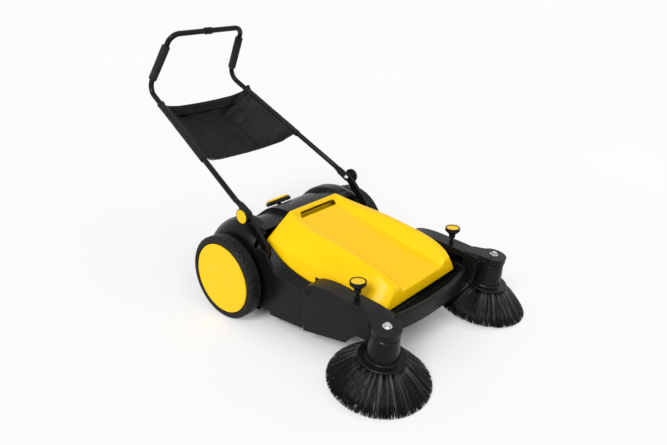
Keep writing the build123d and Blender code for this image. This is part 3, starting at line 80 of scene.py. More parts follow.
MIX_FACTOR, MIX_FIRST, MIX_SECOND = 0, 6, 7   # colour sockets of a Mix node
MIX_RESULT = 2


def start_material(name):
    """A new node material: returns it with its tree and its main shader."""
    material = bpy.data.materials.new(name)
    material.use_nodes = True
    tree = material.node_tree
    return material, tree, tree.nodes["Principled BSDF"]


def node(tree, kind, **values):
    made = tree.nodes.new(kind)
    for key, value in values.items():
        setattr(made, key, value)
    return made


def place(tree, stretch=(1.0, 1.0, 1.0)):
    """Coordinates that stay with the piece, in metres."""
    coordinates = node(tree, "ShaderNodeTexCoord")
    mapping = node(tree, "ShaderNodeMapping")
    mapping.inputs["Scale"].default_value = stretch
    tree.links.new(coordinates.outputs["Object"], mapping.inputs["Vector"])
    return mapping.outputs["Vector"]


def clouds(tree, where, scale, detail=3.0, roughness=0.55):
    texture = node(tree, "ShaderNodeTexNoise")
    texture.inputs["Scale"].default_value = scale
    texture.inputs["Detail"].default_value = detail
    texture.inputs["Roughness"].default_value = roughness
    tree.links.new(where, texture.inputs["Vector"])
    return texture.outputs["Fac"]


def between(tree, factor, low, high, from_low=0.3, from_high=0.7):
    """Maps a pattern onto a range of values."""
    spread = node(tree, "ShaderNodeMapRange")
    spread.inputs["From Min"].default_value = from_low
    spread.inputs["From Max"].default_value = from_high
    spread.inputs["To Min"].default_value = low
    spread.inputs["To Max"].default_value = high
    tree.links.new(factor, spread.inputs["Value"])
    return spread.outputs["Result"]


def tones(tree, factor, dark, light, low=0.3, high=0.7):
    ramp = node(tree, "ShaderNodeValToRGB")
    ramp.color_ramp.elements[0].position = low
    ramp.color_ramp.elements[0].color = (*dark, 1.0)
    ramp.color_ramp.elements[1].position = high
    ramp.color_ramp.elements[1].color = (*light, 1.0)
    tree.links.new(factor, ramp.inputs["Fac"])
    return ramp.outputs["Color"]


def toward(tree, factor, first, second):
    """A colour that goes over to a fixed second one where the factor is high."""
    mix = node(tree, "ShaderNodeMix", data_type="RGBA")
    tree.links.new(factor, mix.inputs[MIX_FACTOR])
    tree.links.new(first, mix.inputs[MIX_FIRST])
    mix.inputs[MIX_SECOND].default_value = (*second, 1.0)
    return mix.outputs[MIX_RESULT]


def shaded(tree, colour, shade):
    """A colour multiplied by a grey pattern."""
    mix = node(tree, "ShaderNodeMix", data_type="RGBA", blend_type="MULTIPLY")
    mix.inputs[MIX_FACTOR].default_value = 1.0
    tree.links.new(colour, mix.inputs[MIX_FIRST])
    tree.links.new(shade, mix.inputs[MIX_SECOND])
    return mix.outputs[MIX_RESULT]


def bump(tree, height, depth, strength=1.0, normal=None):
    made = node(tree, "ShaderNodeBump")
    made.inputs["Distance"].default_value = depth
    made.inputs["Strength"].default_value = strength
    tree.links.new(height, made.inputs["Height"])
    if normal is not None:
        tree.links.new(normal, made.inputs["Normal"])
    return made.outputs["Normal"]


def soft_edges(tree, radius):
    """Rounded-edge normal, and a value that is high on edges, where finishes turn paler for wear and as
    painted edge highlight.
    """
    rounded = node(tree, "ShaderNodeBevel", samples=6)
    rounded.inputs["Radius"].default_value = radius
    geometry = node(tree, "ShaderNodeNewGeometry")
    dot = node(tree, "ShaderNodeVectorMath", operation="DOT_PRODUCT")
    tree.links.new(rounded.outputs["Normal"], dot.inputs[0])
    tree.links.new(geometry.outputs["Normal"], dot.inputs[1])
    wear_and_highlight_mask = between(tree, dot.outputs["Value"], 1.0, 0.0, from_low=0.80, from_high=0.99)
    return rounded.outputs["Normal"], wear_and_highlight_mask


def moulded(name, dark, light, edge, rough, grain, grain_depth, edge_radius, shine=0.12):
    """Moulded plastic: mottled tone, fine grain, rounded edges that turn towards a paler edge tone,
    partly as scuffed wear and partly as painted edge highlight.
    """
    mottle_scale, scuff_scale, gloss_scale = 9.0, 60.0, 35.0
    material, tree, shader = start_material(name)
    where = place(tree)
    normal, edge_wear_and_highlight = soft_edges(tree, edge_radius)
    body = tones(tree, clouds(tree, where, mottle_scale, 4.0), dark, light)
    scuffs = clouds(tree, where, scuff_scale, 5.0, 0.7)
    rubbed_and_highlit = node(tree, "ShaderNodeMath", operation="MULTIPLY")
    tree.links.new(edge_wear_and_highlight, rubbed_and_highlit.inputs[0])
    tree.links.new(scuffs, rubbed_and_highlit.inputs[1])
    # Scuffed patches on edges go over to the paler edge tone: wear, and painted highlight along the
    # edges.
    colour = toward(tree, rubbed_and_highlit.outputs["Value"], body, edge)
    tree.links.new(colour, shader.inputs["Base Color"])
    patches = between(tree, clouds(tree, where, gloss_scale, 4.0), *rough)
    tree.links.new(patches, shader.inputs["Roughness"])
    fine = bump(tree, clouds(tree, where, grain, 2.0), grain_depth, 0.6, normal)
    tree.links.new(fine, shader.inputs["Normal"])
    shader.inputs["Specular IOR Level"].default_value = shine
    return material


def rubber(name, dark, light, wear_and_highlight_tone, rough, grain, depth):
    """Matt rubber with edges that turn to a paler tone, partly as wear and partly as painted glints."""
    edge_radius, mottle_scale, gloss_scale = 0.0015, 14.0, 50.0
    material, tree, shader = start_material(name)
    where = place(tree)
    normal, edge_wear_and_highlight = soft_edges(tree, edge_radius)
    body = tones(tree, clouds(tree, where, mottle_scale, 5.0), dark, light)
    # Edges go over to the paler tone: wear, and painted glints along the edges.
    tree.links.new(toward(tree, edge_wear_and_highlight, body, wear_and_highlight_tone), shader.inputs["Base Color"])
    tree.links.new(between(tree, clouds(tree, where, gloss_scale), *rough), shader.inputs["Roughness"])
    fine = bump(tree, clouds(tree, where, grain, 3.0), depth, 0.7, normal)
    tree.links.new(fine, shader.inputs["Normal"])
    shader.inputs["Specular IOR Level"].default_value = 0.12
    return material


def foam(name):
    """Closed-cell foam: small pores over a soft mottle."""
    pore_scale, mottle_scale, gloss_scale = 900.0, 40.0, 80.0
    pore_depth = 0.0004
    material, tree, shader = start_material(name)
    where = place(tree)
    pores = node(tree, "ShaderNodeTexVoronoi", feature="F1")
    pores.inputs["Scale"].default_value = pore_scale
    tree.links.new(where, pores.inputs["Vector"])
    mottle = clouds(tree, where, mottle_scale, 4.0)
    body = tones(tree, mottle, (0.014, 0.0145, 0.016), (0.026, 0.0265, 0.029))
    pits = tones(tree, pores.outputs["Distance"], (0.55, 0.55, 0.55), (1.0, 1.0, 1.0), 0.05, 0.5)
    tree.links.new(shaded(tree, body, pits), shader.inputs["Base Color"])
    patches = between(tree, clouds(tree, where, gloss_scale), 0.82, 0.95)
    tree.links.new(patches, shader.inputs["Roughness"])
    tree.links.new(bump(tree, pores.outputs["Distance"], pore_depth, 0.6), shader.inputs["Normal"])
    shader.inputs["Specular IOR Level"].default_value = 0.1
    shader.inputs["Sheen Weight"].default_value = 0.05
    shader.inputs["Sheen Roughness"].default_value = 0.6
    return material


def powder_coat(name):
    """Gloss black powder coat on tube, with faint orange peel."""
    edge_radius, mottle_scale, gloss_scale, peel_scale = 0.0012, 20.0, 70.0, 420.0
    peel_depth = 0.0003
    material, tree, shader = start_material(name)
    where = place(tree)
    normal, edge_wear_and_highlight = soft_edges(tree, edge_radius)
    mottle = clouds(tree, where, mottle_scale, 3.0)
    body = tones(tree, mottle, (0.003, 0.003, 0.0035), (0.006, 0.006, 0.0065))
    # Edges go over to a paler tone: partly wear, partly painted edge highlight.
    tree.links.new(toward(tree, edge_wear_and_highlight, body, (0.03, 0.03, 0.032)), shader.inputs["Base Color"])
    patches = between(tree, clouds(tree, where, gloss_scale, 4.0), 0.10, 0.18)
    tree.links.new(patches, shader.inputs["Roughness"])
    peel = bump(tree, clouds(tree, where, peel_scale, 1.0), peel_depth, 0.25, normal)
    tree.links.new(peel, shader.inputs["Normal"])
    shader.inputs["Specular IOR Level"].default_value = 0.16
    return material


def plated_steel(name):
    """Zinc-plated steel with spangle and a fine grain."""
    edge_radius, spangle_scale, gloss_scale, grain_scale = 0.0008, 260.0, 300.0, 900.0
    grain_depth = 0.0001
    material, tree, shader = start_material(name)
    where = place(tree)
    normal, edge_wear_and_highlight = soft_edges(tree, edge_radius)
    body = tones(tree, clouds(tree, where, spangle_scale, 4.0), (0.46, 0.47, 0.48), (0.68, 0.68, 0.67))
    # Edges go over to a paler tone: partly wear, partly painted edge highlight.
    tree.links.new(toward(tree, edge_wear_and_highlight, body, (0.8, 0.8, 0.79)), shader.inputs["Base Color"])
    patches = between(tree, clouds(tree, where, gloss_scale, 4.0), 0.25, 0.42)
    tree.links.new(patches, shader.inputs["Roughness"])
    grain = bump(tree, clouds(tree, where, grain_scale, 2.0), grain_depth, 0.4, normal)
    tree.links.new(grain, shader.inputs["Normal"])
    shader.inputs["Metallic"].default_value = 1.0
    return material


def woven(name, thread_scale):
    """Plain-woven cloth: two crossed thread waves over a soft fade."""
    fade_scale, gloss_scale, crease_scale = 11.0, 120.0, 28.0
    crease_depth, thread_depth = 0.003, 0.0004
    material, tree, shader = start_material(name)
    where = place(tree)
    threads = []
    for direction in ("X", "Y"):
        wave = node(tree, "ShaderNodeTexWave", wave_type="BANDS", bands_direction=direction)
        wave.inputs["Scale"].default_value = thread_scale
        wave.inputs["Distortion"].default_value = 1.2
        wave.inputs["Detail"].default_value = 1.0
        wave.inputs["Detail Scale"].default_value = 4.0
        tree.links.new(where, wave.inputs["Vector"])
        threads.append(wave.outputs["Fac"])
    weave = node(tree, "ShaderNodeMath", operation="MAXIMUM")
    tree.links.new(threads[0], weave.inputs[0])
    tree.links.new(threads[1], weave.inputs[1])
    fade = clouds(tree, where, fade_scale, 5.0, 0.6)
    faded = tones(tree, fade, (0.0040, 0.0038, 0.0041), (0.0110, 0.0105, 0.0110))
    thread_tone = tones(tree, weave.outputs["Value"], (0.62, 0.62, 0.62), (1.0, 1.0, 1.0), 0.2, 0.9)
    tree.links.new(shaded(tree, faded, thread_tone), shader.inputs["Base Color"])
    patches = between(tree, clouds(tree, where, gloss_scale), 0.36, 0.52)
    tree.links.new(patches, shader.inputs["Roughness"])
    creases = bump(tree, clouds(tree, where, crease_scale, 4.0), crease_depth, 0.35)
    raised = bump(tree, weave.outputs["Value"], thread_depth, 0.7, creases)
    tree.links.new(raised, shader.inputs["Normal"])
    shader.inputs["Specular IOR Level"].default_value = 0.15
    shader.inputs["Sheen Weight"].default_value = 0.02
    shader.inputs["Sheen Roughness"].default_value = 0.4
    return material


def filament(name):
    """Black nylon filament: each strand has its own tone and its own gloss; the palest tones are painted
    highlight streaks.
    """
    material, tree, shader = start_material(name)
    strand = node(tree, "ShaderNodeAttribute", attribute_name="strand")
    tone = strand.outputs["Fac"]
    # Above 0.42 the tone runs up to a light grey: random tone, and at the light end painted highlight
    # streaks.
    body = tones(tree, tone, (0.0018, 0.0018, 0.0020), (0.150, 0.147, 0.145), low=0.42, high=1.0)
    tree.links.new(body, shader.inputs["Base Color"])
    gloss = between(tree, tone, 0.28, 0.5, from_low=0.0, from_high=1.0)
    tree.links.new(gloss, shader.inputs["Roughness"])
    shader.inputs["Specular IOR Level"].default_value = 0.25
    return material


MATERIALS = {
    # In moulded and rubber finishes the third colour is the edge tone: partly wear, partly painted edge
    # highlight.
    "chassis_black": moulded(
        "chassis_black", (0.0046, 0.0047, 0.0050), (0.0080, 0.0082, 0.0087), (0.060, 0.061, 0.063),
        (0.24, 0.36), 700.0, 0.0005, 0.003, shine=0.13),
    "cover_yellow": moulded(
        "cover_yellow", (0.90, 0.545, 0.0), (0.94, 0.575, 0.0005), (1.0, 0.66, 0.01),
        (0.22, 0.32), 500.0, 0.0002, 0.004, shine=0.16),
    "knob_black": moulded(
        "knob_black", (0.0045, 0.0045, 0.005), (0.008, 0.008, 0.0085), (0.05, 0.05, 0.052),
        (0.22, 0.34), 800.0, 0.0003, 0.0015, shine=0.13),
    "rim_black": moulded(
        "rim_black", (0.006, 0.006, 0.0065), (0.010, 0.010, 0.0105), (0.04, 0.04, 0.04),
        (0.42, 0.56), 800.0, 0.0003, 0.0012),
    # The tyre's pale edge tone stands for painted glints on the tread.
    "tyre_grey": rubber(
        "tyre_grey", (0.006, 0.006, 0.0065), (0.012, 0.012, 0.0125), (0.11, 0.11, 0.112),
        (0.4, 0.6), 500.0, 0.0006),
    "tube_black": powder_coat("tube_black"),
    "foam_grip": foam("foam_grip"),
    "bag_cloth": woven("bag_cloth", 260.0),
    "bristle_black": filament("bristle_black"),
    "belt_rubber": rubber(
        "belt_rubber", (0.006, 0.006, 0.006), (0.012, 0.012, 0.012), (0.04, 0.04, 0.04),
        (0.45, 0.6), 900.0, 0.0002),
    "bright_steel": plated_steel("bright_steel"),
}

for entry in frame["record"]["subparts"]:
    for material_slot in NODES[entry["node"]].material_slots:
        material_slot.material = MATERIALS[entry["material_slot"]]


# Mesh helpers

def add_piece(name, points, faces, slot, body, smooth=True):
    """A new mesh piece in the row frame, with the finish of a record slot, riding on a body."""
    mesh = bpy.data.meshes.new(name)
    mesh.from_pydata([tuple(p) for p in points], [], faces)
    mesh.materials.append(MATERIALS[slot])
    if smooth:
        mesh.shade_smooth()
    else:
        mesh.shade_flat()
    piece = bpy.data.objects.new(name, mesh)
    bpy.context.scene.collection.objects.link(piece)
    if body:
        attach(piece, body)
    return piece


def apply_modifiers(piece):
    """Keeps the piece's modified mesh in place of its base mesh."""
    graph = bpy.context.evaluated_depsgraph_get()
    made = bpy.data.meshes.new_from_object(piece.evaluated_get(graph))
    old = piece.data
    piece.modifiers.clear()
    piece.data = made
    bpy.data.meshes.remove(old)


def side_axes(direction):
    """Two axes square to a direction; the fixed vector only has to be off it."""
    across = direction.cross(Vector((0.31, 0.17, 0.93))).normalized()
    return across, direction.cross(across).normalized()


def strands_piece(name, strands, radius, body):
    """Tapered three-sided filaments along given paths, each with a tone that darkens to its tip; the
    lighter roots are painted highlight.
    """
    sides = 3
    taper = 0.30
    root_highlight_falloff = 0.45
    points = []
    faces = []
    values = []
    for path, tone in strands:
        across, up = side_axes((path[-1] - path[0]).normalized())
        base = len(points)
        last = len(path) - 1
        for ring, place_on in enumerate(path):
            thick = radius * (1.0 - taper * ring / last)
            for corner in range(sides):
                turn = 2 * math.pi * corner / sides
                points.append(place_on + thick * (math.cos(turn) * across + math.sin(turn) * up))
                # Tone falls from root to tip: painted highlight at the roots.
                values.append(tone * (1.0 - root_highlight_falloff * ring / last))
        for ring in range(last):
            for corner in range(sides):
                a = base + sides * ring + corner
                b = base + sides * ring + (corner + 1) % sides
                faces.append((a, b, b + sides, a + sides))
        tip = base + sides * last
        faces.append(tuple(tip + corner for corner in range(sides)))
        faces.append(tuple(base + corner for corner in reversed(range(sides))))
    piece = add_piece(name, points, faces, "bristle_black", body)
    attribute = piece.data.attributes.new("strand", "FLOAT", "POINT")
    attribute.data.foreach_set("value", values)
    return piece


# Side brushes: tufts set in rows under the plate, flaring to the floor

BRUSH_SEEDS = {"left": 11, "right": 23}
BRUSH_ROWS = (   # root radius, tip radius, tufts, strands in a tuft
    (0.040, 0.108, 40, 14), (0.050, 0.128, 52, 17), (0.059, 0.145, 62, 20), (0.0675, 0.1565, 92, 28))
BRUSH_STRAND_RADIUS = 0.00085
BRUSH_STRAND_STEPS = 4
BRUSH_TONE_SPREAD = 0.22
ROOT_WANDER = 0.0026
ROOT_SINK = 0.001
ROOT_LIMIT = 0.0005
TIP_TURN_SPREAD = 0.034   # radians
TIP_REACH_SPREAD = 0.0035
TIP_LIFT_SPREAD = 0.0022
TIP_GAP = 0.001
STRAND_BOW = (0.004, 0.010)
STRAND_FLARE = 1.12
FLOOR_CLEARANCE = 0.0008


def brush_bristles(side, sign):
    chance = random.Random(BRUSH_SEEDS[side])
    lift = BRUSH_RADIUS * math.sqrt(1 - (math.cos(BRUSH_LEAN) * math.cos(BRUSH_SPLAY)) ** 2)
    stand = Matrix.Translation((sign * BRUSH_CENTRE[0], BRUSH_CENTRE[1], lift))
    stand = stand @ Matrix.Rotation(BRUSH_LEAN, 4, "X") @ Matrix.Rotation(sign * BRUSH_SPLAY, 4, "Y")
    strands = []
    for root, tip, tufts, per_tuft in BRUSH_ROWS:
        for tuft in range(tufts):
            angle = 2 * math.pi * (tuft + 0.5 * chance.random()) / tufts
            # Tufts with high tones come out pale: painted highlight streaks among the bristles.
            tuft_tone = 0.10 + 0.75 * chance.random() ** 1.6
            for _ in range(per_tuft):
                start_radius = root + chance.uniform(-ROOT_WANDER, ROOT_WANDER)
                start_turn = angle + chance.uniform(-ROOT_WANDER, ROOT_WANDER) / root
                end_turn = angle + chance.gauss(0.0, TIP_TURN_SPREAD)
                end_radius = min(BRUSH_RADIUS - TIP_GAP, tip + chance.gauss(0.0, TIP_REACH_SPREAD))
                end_height = FLOOR_CLEARANCE + abs(chance.gauss(0.0, TIP_LIFT_SPREAD))
                bow = chance.uniform(*STRAND_BOW)
                path = []
                for step in range(BRUSH_STRAND_STEPS + 1):
                    t = step / BRUSH_STRAND_STEPS
                    reach = start_radius + (end_radius - start_radius) * (t ** STRAND_FLARE)
                    turn = start_turn + (end_turn - start_turn) * t
                    height = BRISTLE_HEIGHT + ROOT_SINK + (end_height - BRISTLE_HEIGHT) * t
                    height += bow * math.sin(math.pi * t)
                    height = min(height, BRISTLE_HEIGHT + ROOT_LIMIT)
                    path.append(stand @ Vector((reach * math.cos(turn), reach * math.sin(turn), height)))
                lowest = min(p.z for p in path)
                if lowest < FLOOR_CLEARANCE:
                    rise = (FLOOR_CLEARANCE - lowest) / BRUSH_STRAND_STEPS
                    path = [p + Vector((0, 0, rise * k)) for k, p in enumerate(path)]
                tone = tuft_tone + chance.gauss(0.0, BRUSH_TONE_SPREAD)
                strands.append((path, min(1.0, max(0.0, tone))))
    piece = strands_piece(f"{side}_brush_tufts", strands, BRUSH_STRAND_RADIUS, f"{side}_brush")
    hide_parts(f"{side}_brush_bristles")


ROLLER_SEED = 5
ROLLER_TUFTS = 86
ROLLER_PER_TUFT = 7
ROLLER_STRAND_RADIUS = 0.0008
ROLLER_STRAND_STEPS = 2
ROLLER_TONE_SPREAD = 0.2
ROLLER_LEAN_SPREAD = 0.045    # radians
ROLLER_TURN_SPREAD = 0.03     # radians
ROLLER_WANDER = 0.0015
ROLLER_ROOT_SINK = 0.001
ROLLER_TIP_GAP = 0.0012


def roller_bristles():
    """Rows of tufts on the roller core, in a shallow V."""
    chance = random.Random(ROLLER_SEED)
    strands = []
    for row in range(ROLLER_ROWS):
        for number in range(ROLLER_TUFTS):
            along = -ROLLER_HALF + 2 * ROLLER_HALF * (number + 0.5) / ROLLER_TUFTS
            twist = ROLLER_TWIST * abs(along) / ROLLER_HALF
            angle = 2 * math.pi * row / ROLLER_ROWS + twist
            # High tones come out pale, as painted highlight streaks.
            tuft_tone = 0.1 + 0.5 * chance.random()
            for _ in range(ROLLER_PER_TUFT):
                lean = chance.gauss(0.0, ROLLER_LEAN_SPREAD)
                start = angle + chance.gauss(0.0, ROLLER_TURN_SPREAD)
                path = []
                for step in range(ROLLER_STRAND_STEPS + 1):
                    t = step / ROLLER_STRAND_STEPS
                    radius = ROLLER_CORE - ROLLER_ROOT_SINK
                    radius += (ROLLER_RADIUS - ROLLER_TIP_GAP - ROLLER_CORE) * t
                    turn = start + lean * t
                    path.append(ROLLER_AXIS + Vector((
                        along + chance.uniform(-ROLLER_WANDER, ROLLER_WANDER) * (1 + t),
                        radius * math.cos(turn), radius * math.sin(turn))))
                tone = tuft_tone + chance.gauss(0.0, ROLLER_TONE_SPREAD)
                strands.append((path, min(1.0, max(0.0, tone))))
    piece = strands_piece("roller_tufts", strands, ROLLER_STRAND_RADIUS, "roller")
    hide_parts("roller_bristles")


for side, sign in SIDES:
    brush_bristles(side, sign)
roller_bristles()


# Round belts: each belt solid copied as a loose piece in world space, in place of the solid

for side, sign in SIDES:
    solid = NODES[f"{side}_brush_belt"]
    belt = bpy.data.objects.new(f"{side}_belt_loop", solid.data.copy())
    bpy.context.scene.collection.objects.link(belt)
    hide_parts(f"{side}_brush_belt")
    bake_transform(belt)


# Trough web: the trough floor carried back to the hopper well, clear of the lift-out bin

WEB_OUTLINE = (   # left half from above: across, ahead of the axle
    (0.2278, 0.5858), (0.2278, 0.4715), (0.2243, 0.4715), (0.1843, 0.5705))
WEB_HEIGHTS = (0.1462, 0.1498)
WEB_EDGE = 0.0008


def trough_web():
    half = [(x, AXLE_Y - ahead) for x, ahead in WEB_OUTLINE]
    outline = half + [(-x, y) for x, y in reversed(half)]
    count = len(outline)
    points = [(x, y, z) for z in WEB_HEIGHTS for x, y in outline]
    faces = [tuple(reversed(range(count))), tuple(range(count, 2 * count))]
    for corner in range(count):
        after = (corner + 1) % count
        faces.append((corner, after, after + count, corner + count))
    piece = add_piece("trough_web", points, faces, "chassis_black", "chassis", smooth=False)
    rounded = piece.modifiers.new("rounded", "BEVEL")
    rounded.width = WEB_EDGE
    rounded.segments = 3
    apply_modifiers(piece)


trough_web()


# Foam grips: soft sleeves with rolled ends on the upper run of each tube

GRIP_LIP = 0.006          # length of the rolled end
GRIP_LIP_DEPTH = 0.0052
GRIP_SLACK = 0.0005
GRIP_RIPPLE = 0.00045
GRIP_RIPPLE_REACH = 0.03
GRIP_RIPPLE_SCALE = 28.0
GRIP_BORE_GAP = 0.0002


def foam_grip(side, sign):
    low = Vector((sign * BEND.x, BEND.y, BEND.z))
    high = Vector((sign * TOP.x, TOP.y, TOP.z))
    run = (high - low).normalized()
    across, up = side_axes(run)
    around = 40
    count = 46
    shares = [number / count for number in range(count + 1)]
    rings = [(GRIP_START + GRIP_LENGTH * t, t) for t in shares]
    points = []
    faces = []
    for distance, t in rings:
        from_end = min(t, 1.0 - t) * GRIP_LENGTH
        roll = math.sqrt(max(0.0, 1.0 - max(0.0, 1.0 - from_end / GRIP_LIP) ** 2))
        swell = GRIP_RADIUS - GRIP_LIP_DEPTH * (1.0 - roll) - GRIP_SLACK
        for corner in range(around):
            turn = 2 * math.pi * corner / around
            outward = math.cos(turn) * across + math.sin(turn) * up
            spot = low + run * distance
            soft = noise.noise((spot + outward * GRIP_RIPPLE_REACH) * GRIP_RIPPLE_SCALE) * GRIP_RIPPLE
            points.append(spot + outward * (swell + soft))
    rows = len(rings)
    for ring in range(rows - 1):
        for corner in range(around):
            a = ring * around + corner
            b = ring * around + (corner + 1) % around
            faces.append((a, b, b + around, a + around))
    for ring, flip in ((0, True), (rows - 1, False)):
        base = len(points)
        distance = rings[ring][0]
        for corner in range(around):
            turn = 2 * math.pi * corner / around
            outward = math.cos(turn) * across + math.sin(turn) * up
            points.append(low + run * distance + outward * (TUBE_RADIUS + GRIP_BORE_GAP))
        for corner in range(around):
            a = ring * around + corner
            b = ring * around + (corner + 1) % around
            c = base + (corner + 1) % around
            d = base + corner
            faces.append((d, c, b, a) if flip else (a, b, c, d))
    piece = add_piece(f"{side}_foam_sleeve", points, faces, "foam_grip", "handle")
    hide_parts(f"{side}_grip")


for side, sign in SIDES:
    foam_grip(side, sign)


# Cloth bag hung between the two handle tubes

RUN = (BEND - FOLD).normalized()
ALONG = Vector((0.0, RUN.y, RUN.z)).normalized()
UPWARD = Vector((0.0, -ALONG.z, ALONG.y))
BAG_FOOT = Vector((0.0, FOLD.y, FOLD.z))
BAG_SIDE_GAP = 0.0016
HEM_SAG = 0.015           # sag of the front hem
HEM_SAG_LOSS = 0.004      # less sag at the rear hem
HEM_PULL = 0.006          # the front hem bows to the front
SIDE_SLOPE = 1.0
SIDE_SLOPE_LOSS = 0.42    # gentler sides towards the rear
FRONT_SLOPE = 1.35
REAR_SLOPE = 1.6
FOLD_RIDGE = 0.022
FOLD_VALLEY = 0.015
FOLD_SPREAD = (0.26, 0.36)    # shares of the bag a corner fold takes, along and across
FOLD_REACH = 1.1
RIDGE_WIDTH = 0.22
VALLEY_SHIFT = 0.42
VALLEY_WIDTH = 0.16
BROAD_WRINKLE = 0.006
FINE_WRINKLE = 0.003
WRINKLE_FADE = 6.0            # wrinkles fade out at the sides and hems
HEM_HOLD = 0.25               # how firmly the hems are held in the simulation
SETTLE_FRAMES = 30
SETTLE_LIMIT = 0.010
CLOTH_THICK = 0.0012
HEM_THICK = 0.0022
HEM_LIFT = 0.0004
STITCH_LIFT = 0.0019
SLEEVE_THICK = 0.0011


def tube_half(distance):
    return FOLD.x + RUN.x * distance


def smooth_step(value):
    value = min(1.0, max(0.0, value))
    return value * value * (3.0 - 2.0 * value)


def soft_least(first, second, blend=0.004):
    """The smaller of two lengths, rounded where they cross."""
    near = max(0.0, blend - abs(first - second)) / blend
    return min(first, second) - near * near * blend / 4


def bag_point(u, v):
    """Pouch surface: u from -1 to 1 across, v from 0 at the front hem to 1 at the rear hem."""
    distance = BAG_START + BAG_LENGTH * v
    half = tube_half(distance) - TUBE_RADIUS - BAG_SIDE_GAP
    inward = 1.0 - abs(u)
    bow = 1.0 - u * u
    hem = (HEM_SAG - HEM_SAG_LOSS * v) * bow
    pocket = soft_least(BAG_DEPTH, (SIDE_SLOPE - SIDE_SLOPE_LOSS * v) * inward * half)
    pocket = soft_least(pocket, FRONT_SLOPE * BAG_LENGTH * v)
    pocket = soft_least(pocket, REAR_SLOPE * BAG_LENGTH * (1.0 - v))
    depth = hem + max(0.0, pocket) * (1.0 - hem / BAG_DEPTH)
    fold = 0.0
    for corner_v, facing in ((0.0, 1.0), (1.0, -1.0)):
        rise = (v - corner_v) * facing / FOLD_SPREAD[0]
        run = inward / FOLD_SPREAD[1]
        near = math.exp(-((rise + run) / FOLD_REACH) ** 2)
        edge = min(1.0, 4.0 * min(rise, run))
        fold += FOLD_RIDGE * near * math.exp(-((rise - run) / RIDGE_WIDTH) ** 2) * edge
        fold -= FOLD_VALLEY * near * math.exp(-((rise - run - VALLEY_SHIFT) / VALLEY_WIDTH) ** 2) * edge
    spot = Vector((u * 3.1, v * 2.3, 0.7 + 0.4 * (u > 0)))
    wrinkle = noise.noise(spot * 1.7) * BROAD_WRINKLE
    wrinkle += noise.noise(Vector((u * 9.0, v * 3.0, 2.2))) * FINE_WRINKLE
    wrinkle *= min(1.0, WRINKLE_FADE * inward)
    wrinkle *= min(1.0, WRINKLE_FADE * v) * min(1.0, WRINKLE_FADE * (1.0 - v))
    shift = -HEM_PULL * bow * (1.0 - v) ** 2
    side = BAG_FOOT + ALONG * (distance + shift) + Vector((u * half, 0, 0))
    return side - UPWARD * (depth - fold + wrinkle)


def bag_sheet():
    """The pouch as a grid, held at its sides and lightly at its hems."""
    columns = 72
    rows = 48
    points = []
    faces = []
    for row in range(rows + 1):
        for column in range(columns + 1):
            points.append(bag_point(-1.0 + 2.0 * column / columns, row / rows))
    for row in range(rows):
        for column in range(columns):
            a = row * (columns + 1) + column
            faces.append((a, a + 1, a + columns + 2, a + columns + 1))
    piece = add_piece("bag_cloth_sheet", points, faces, "bag_cloth", None)
    pins = piece.vertex_groups.new(name="held")
    for row in range(rows + 1):
        for column in range(columns + 1):
            index = row * (columns + 1) + column
            on_side = column in (0, columns)
            on_hem = row in (0, rows)
            if on_side:
                pins.add([index], 1.0, "REPLACE")
            elif on_hem:
                pins.add([index], HEM_HOLD, "REPLACE")
    return piece, columns, rows


def settle(piece):
    """Lets the cloth hang under its own weight, then keeps the result."""
    before = [v.co.copy() for v in piece.data.vertices]
    cloth = piece.modifiers.new("hang", "CLOTH")
    cloth.settings.quality = 6
    cloth.settings.mass = 0.25
    cloth.settings.tension_stiffness = 12.0
    cloth.settings.compression_stiffness = 6.0
    cloth.settings.shear_stiffness = 4.0
    cloth.settings.bending_stiffness = 0.25
    cloth.settings.air_damping = 3.0
    cloth.settings.vertex_group_mass = "held"
    cloth.settings.use_dynamic_mesh = False
    cloth.settings.shrink_min = -0.012
    cloth.collision_settings.use_collision = False
    scene = bpy.context.scene
    for number in range(1, SETTLE_FRAMES + 1):
        scene.frame_set(number)
    apply_modifiers(piece)
    for vertex, old in zip(piece.data.vertices, before):
        move = vertex.co - old
        if move.length > SETTLE_LIMIT:
            vertex.co = old + move * (SETTLE_LIMIT / move.length)
    scene.frame_set(1)


def hem_band(name, rows_of_points):
    """A band of doubled cloth laid on the bag along rows of its own points."""
    width = len(rows_of_points[0])
    points = []
    faces = []
    for row in rows_of_points:
        points.extend(p + UPWARD * HEM_LIFT for p in row)
    for row in range(len(rows_of_points) - 1):
        for column in range(width - 1):
            a = row * width + column
            faces.append((a, a + 1, a + width + 1, a + width))
    piece = add_piece(name, points, faces, "bag_cloth", "handle")
    thick = piece.modifiers.new("thick", "SOLIDIFY")
    thick.thickness = HEM_THICK
    thick.offset = 0.0
    apply_modifiers(piece)
    return piece


def stitches(name, lines, body):
    """Short raised thread dashes along lines of points."""
    points = []
    faces = []
    step = 0.0075
    dash = 0.0046
    thread_radius = 0.00055
    sides = 5
    profile = ((0.0, 0.45), (0.2, 1.0), (0.8, 1.0), (1.0, 0.45))   # shares of the dash and of the radius
    last = len(profile) - 1
    for line in lines:
        walked = 0.0
        for a, b in zip(line, line[1:]):
            span = (b - a).length
            run = (b - a).normalized() if span > 1e-9 else Vector((1, 0, 0))
            across, up = side_axes(run)
            while walked < span:
                start = a + run * walked
                base = len(points)
                for share, thick in profile:
                    for corner in range(sides):
                        turn = 2 * math.pi * corner / sides
                        points.append(start + run * dash * share + thread_radius * thick * (
                            math.cos(turn) * across + math.sin(turn) * up))
                for ring in range(last):
                    for corner in range(sides):
                        c = base + sides * ring + corner
                        d = base + sides * ring + (corner + 1) % sides
                        faces.append((c, d, d + sides, c + sides))
                faces.append(tuple(base + k for k in reversed(range(sides))))
                faces.append(tuple(base + sides * last + k for k in range(sides)))
                walked += step
            walked -= span
    return add_piece(name, points, faces, "foam_grip", body)


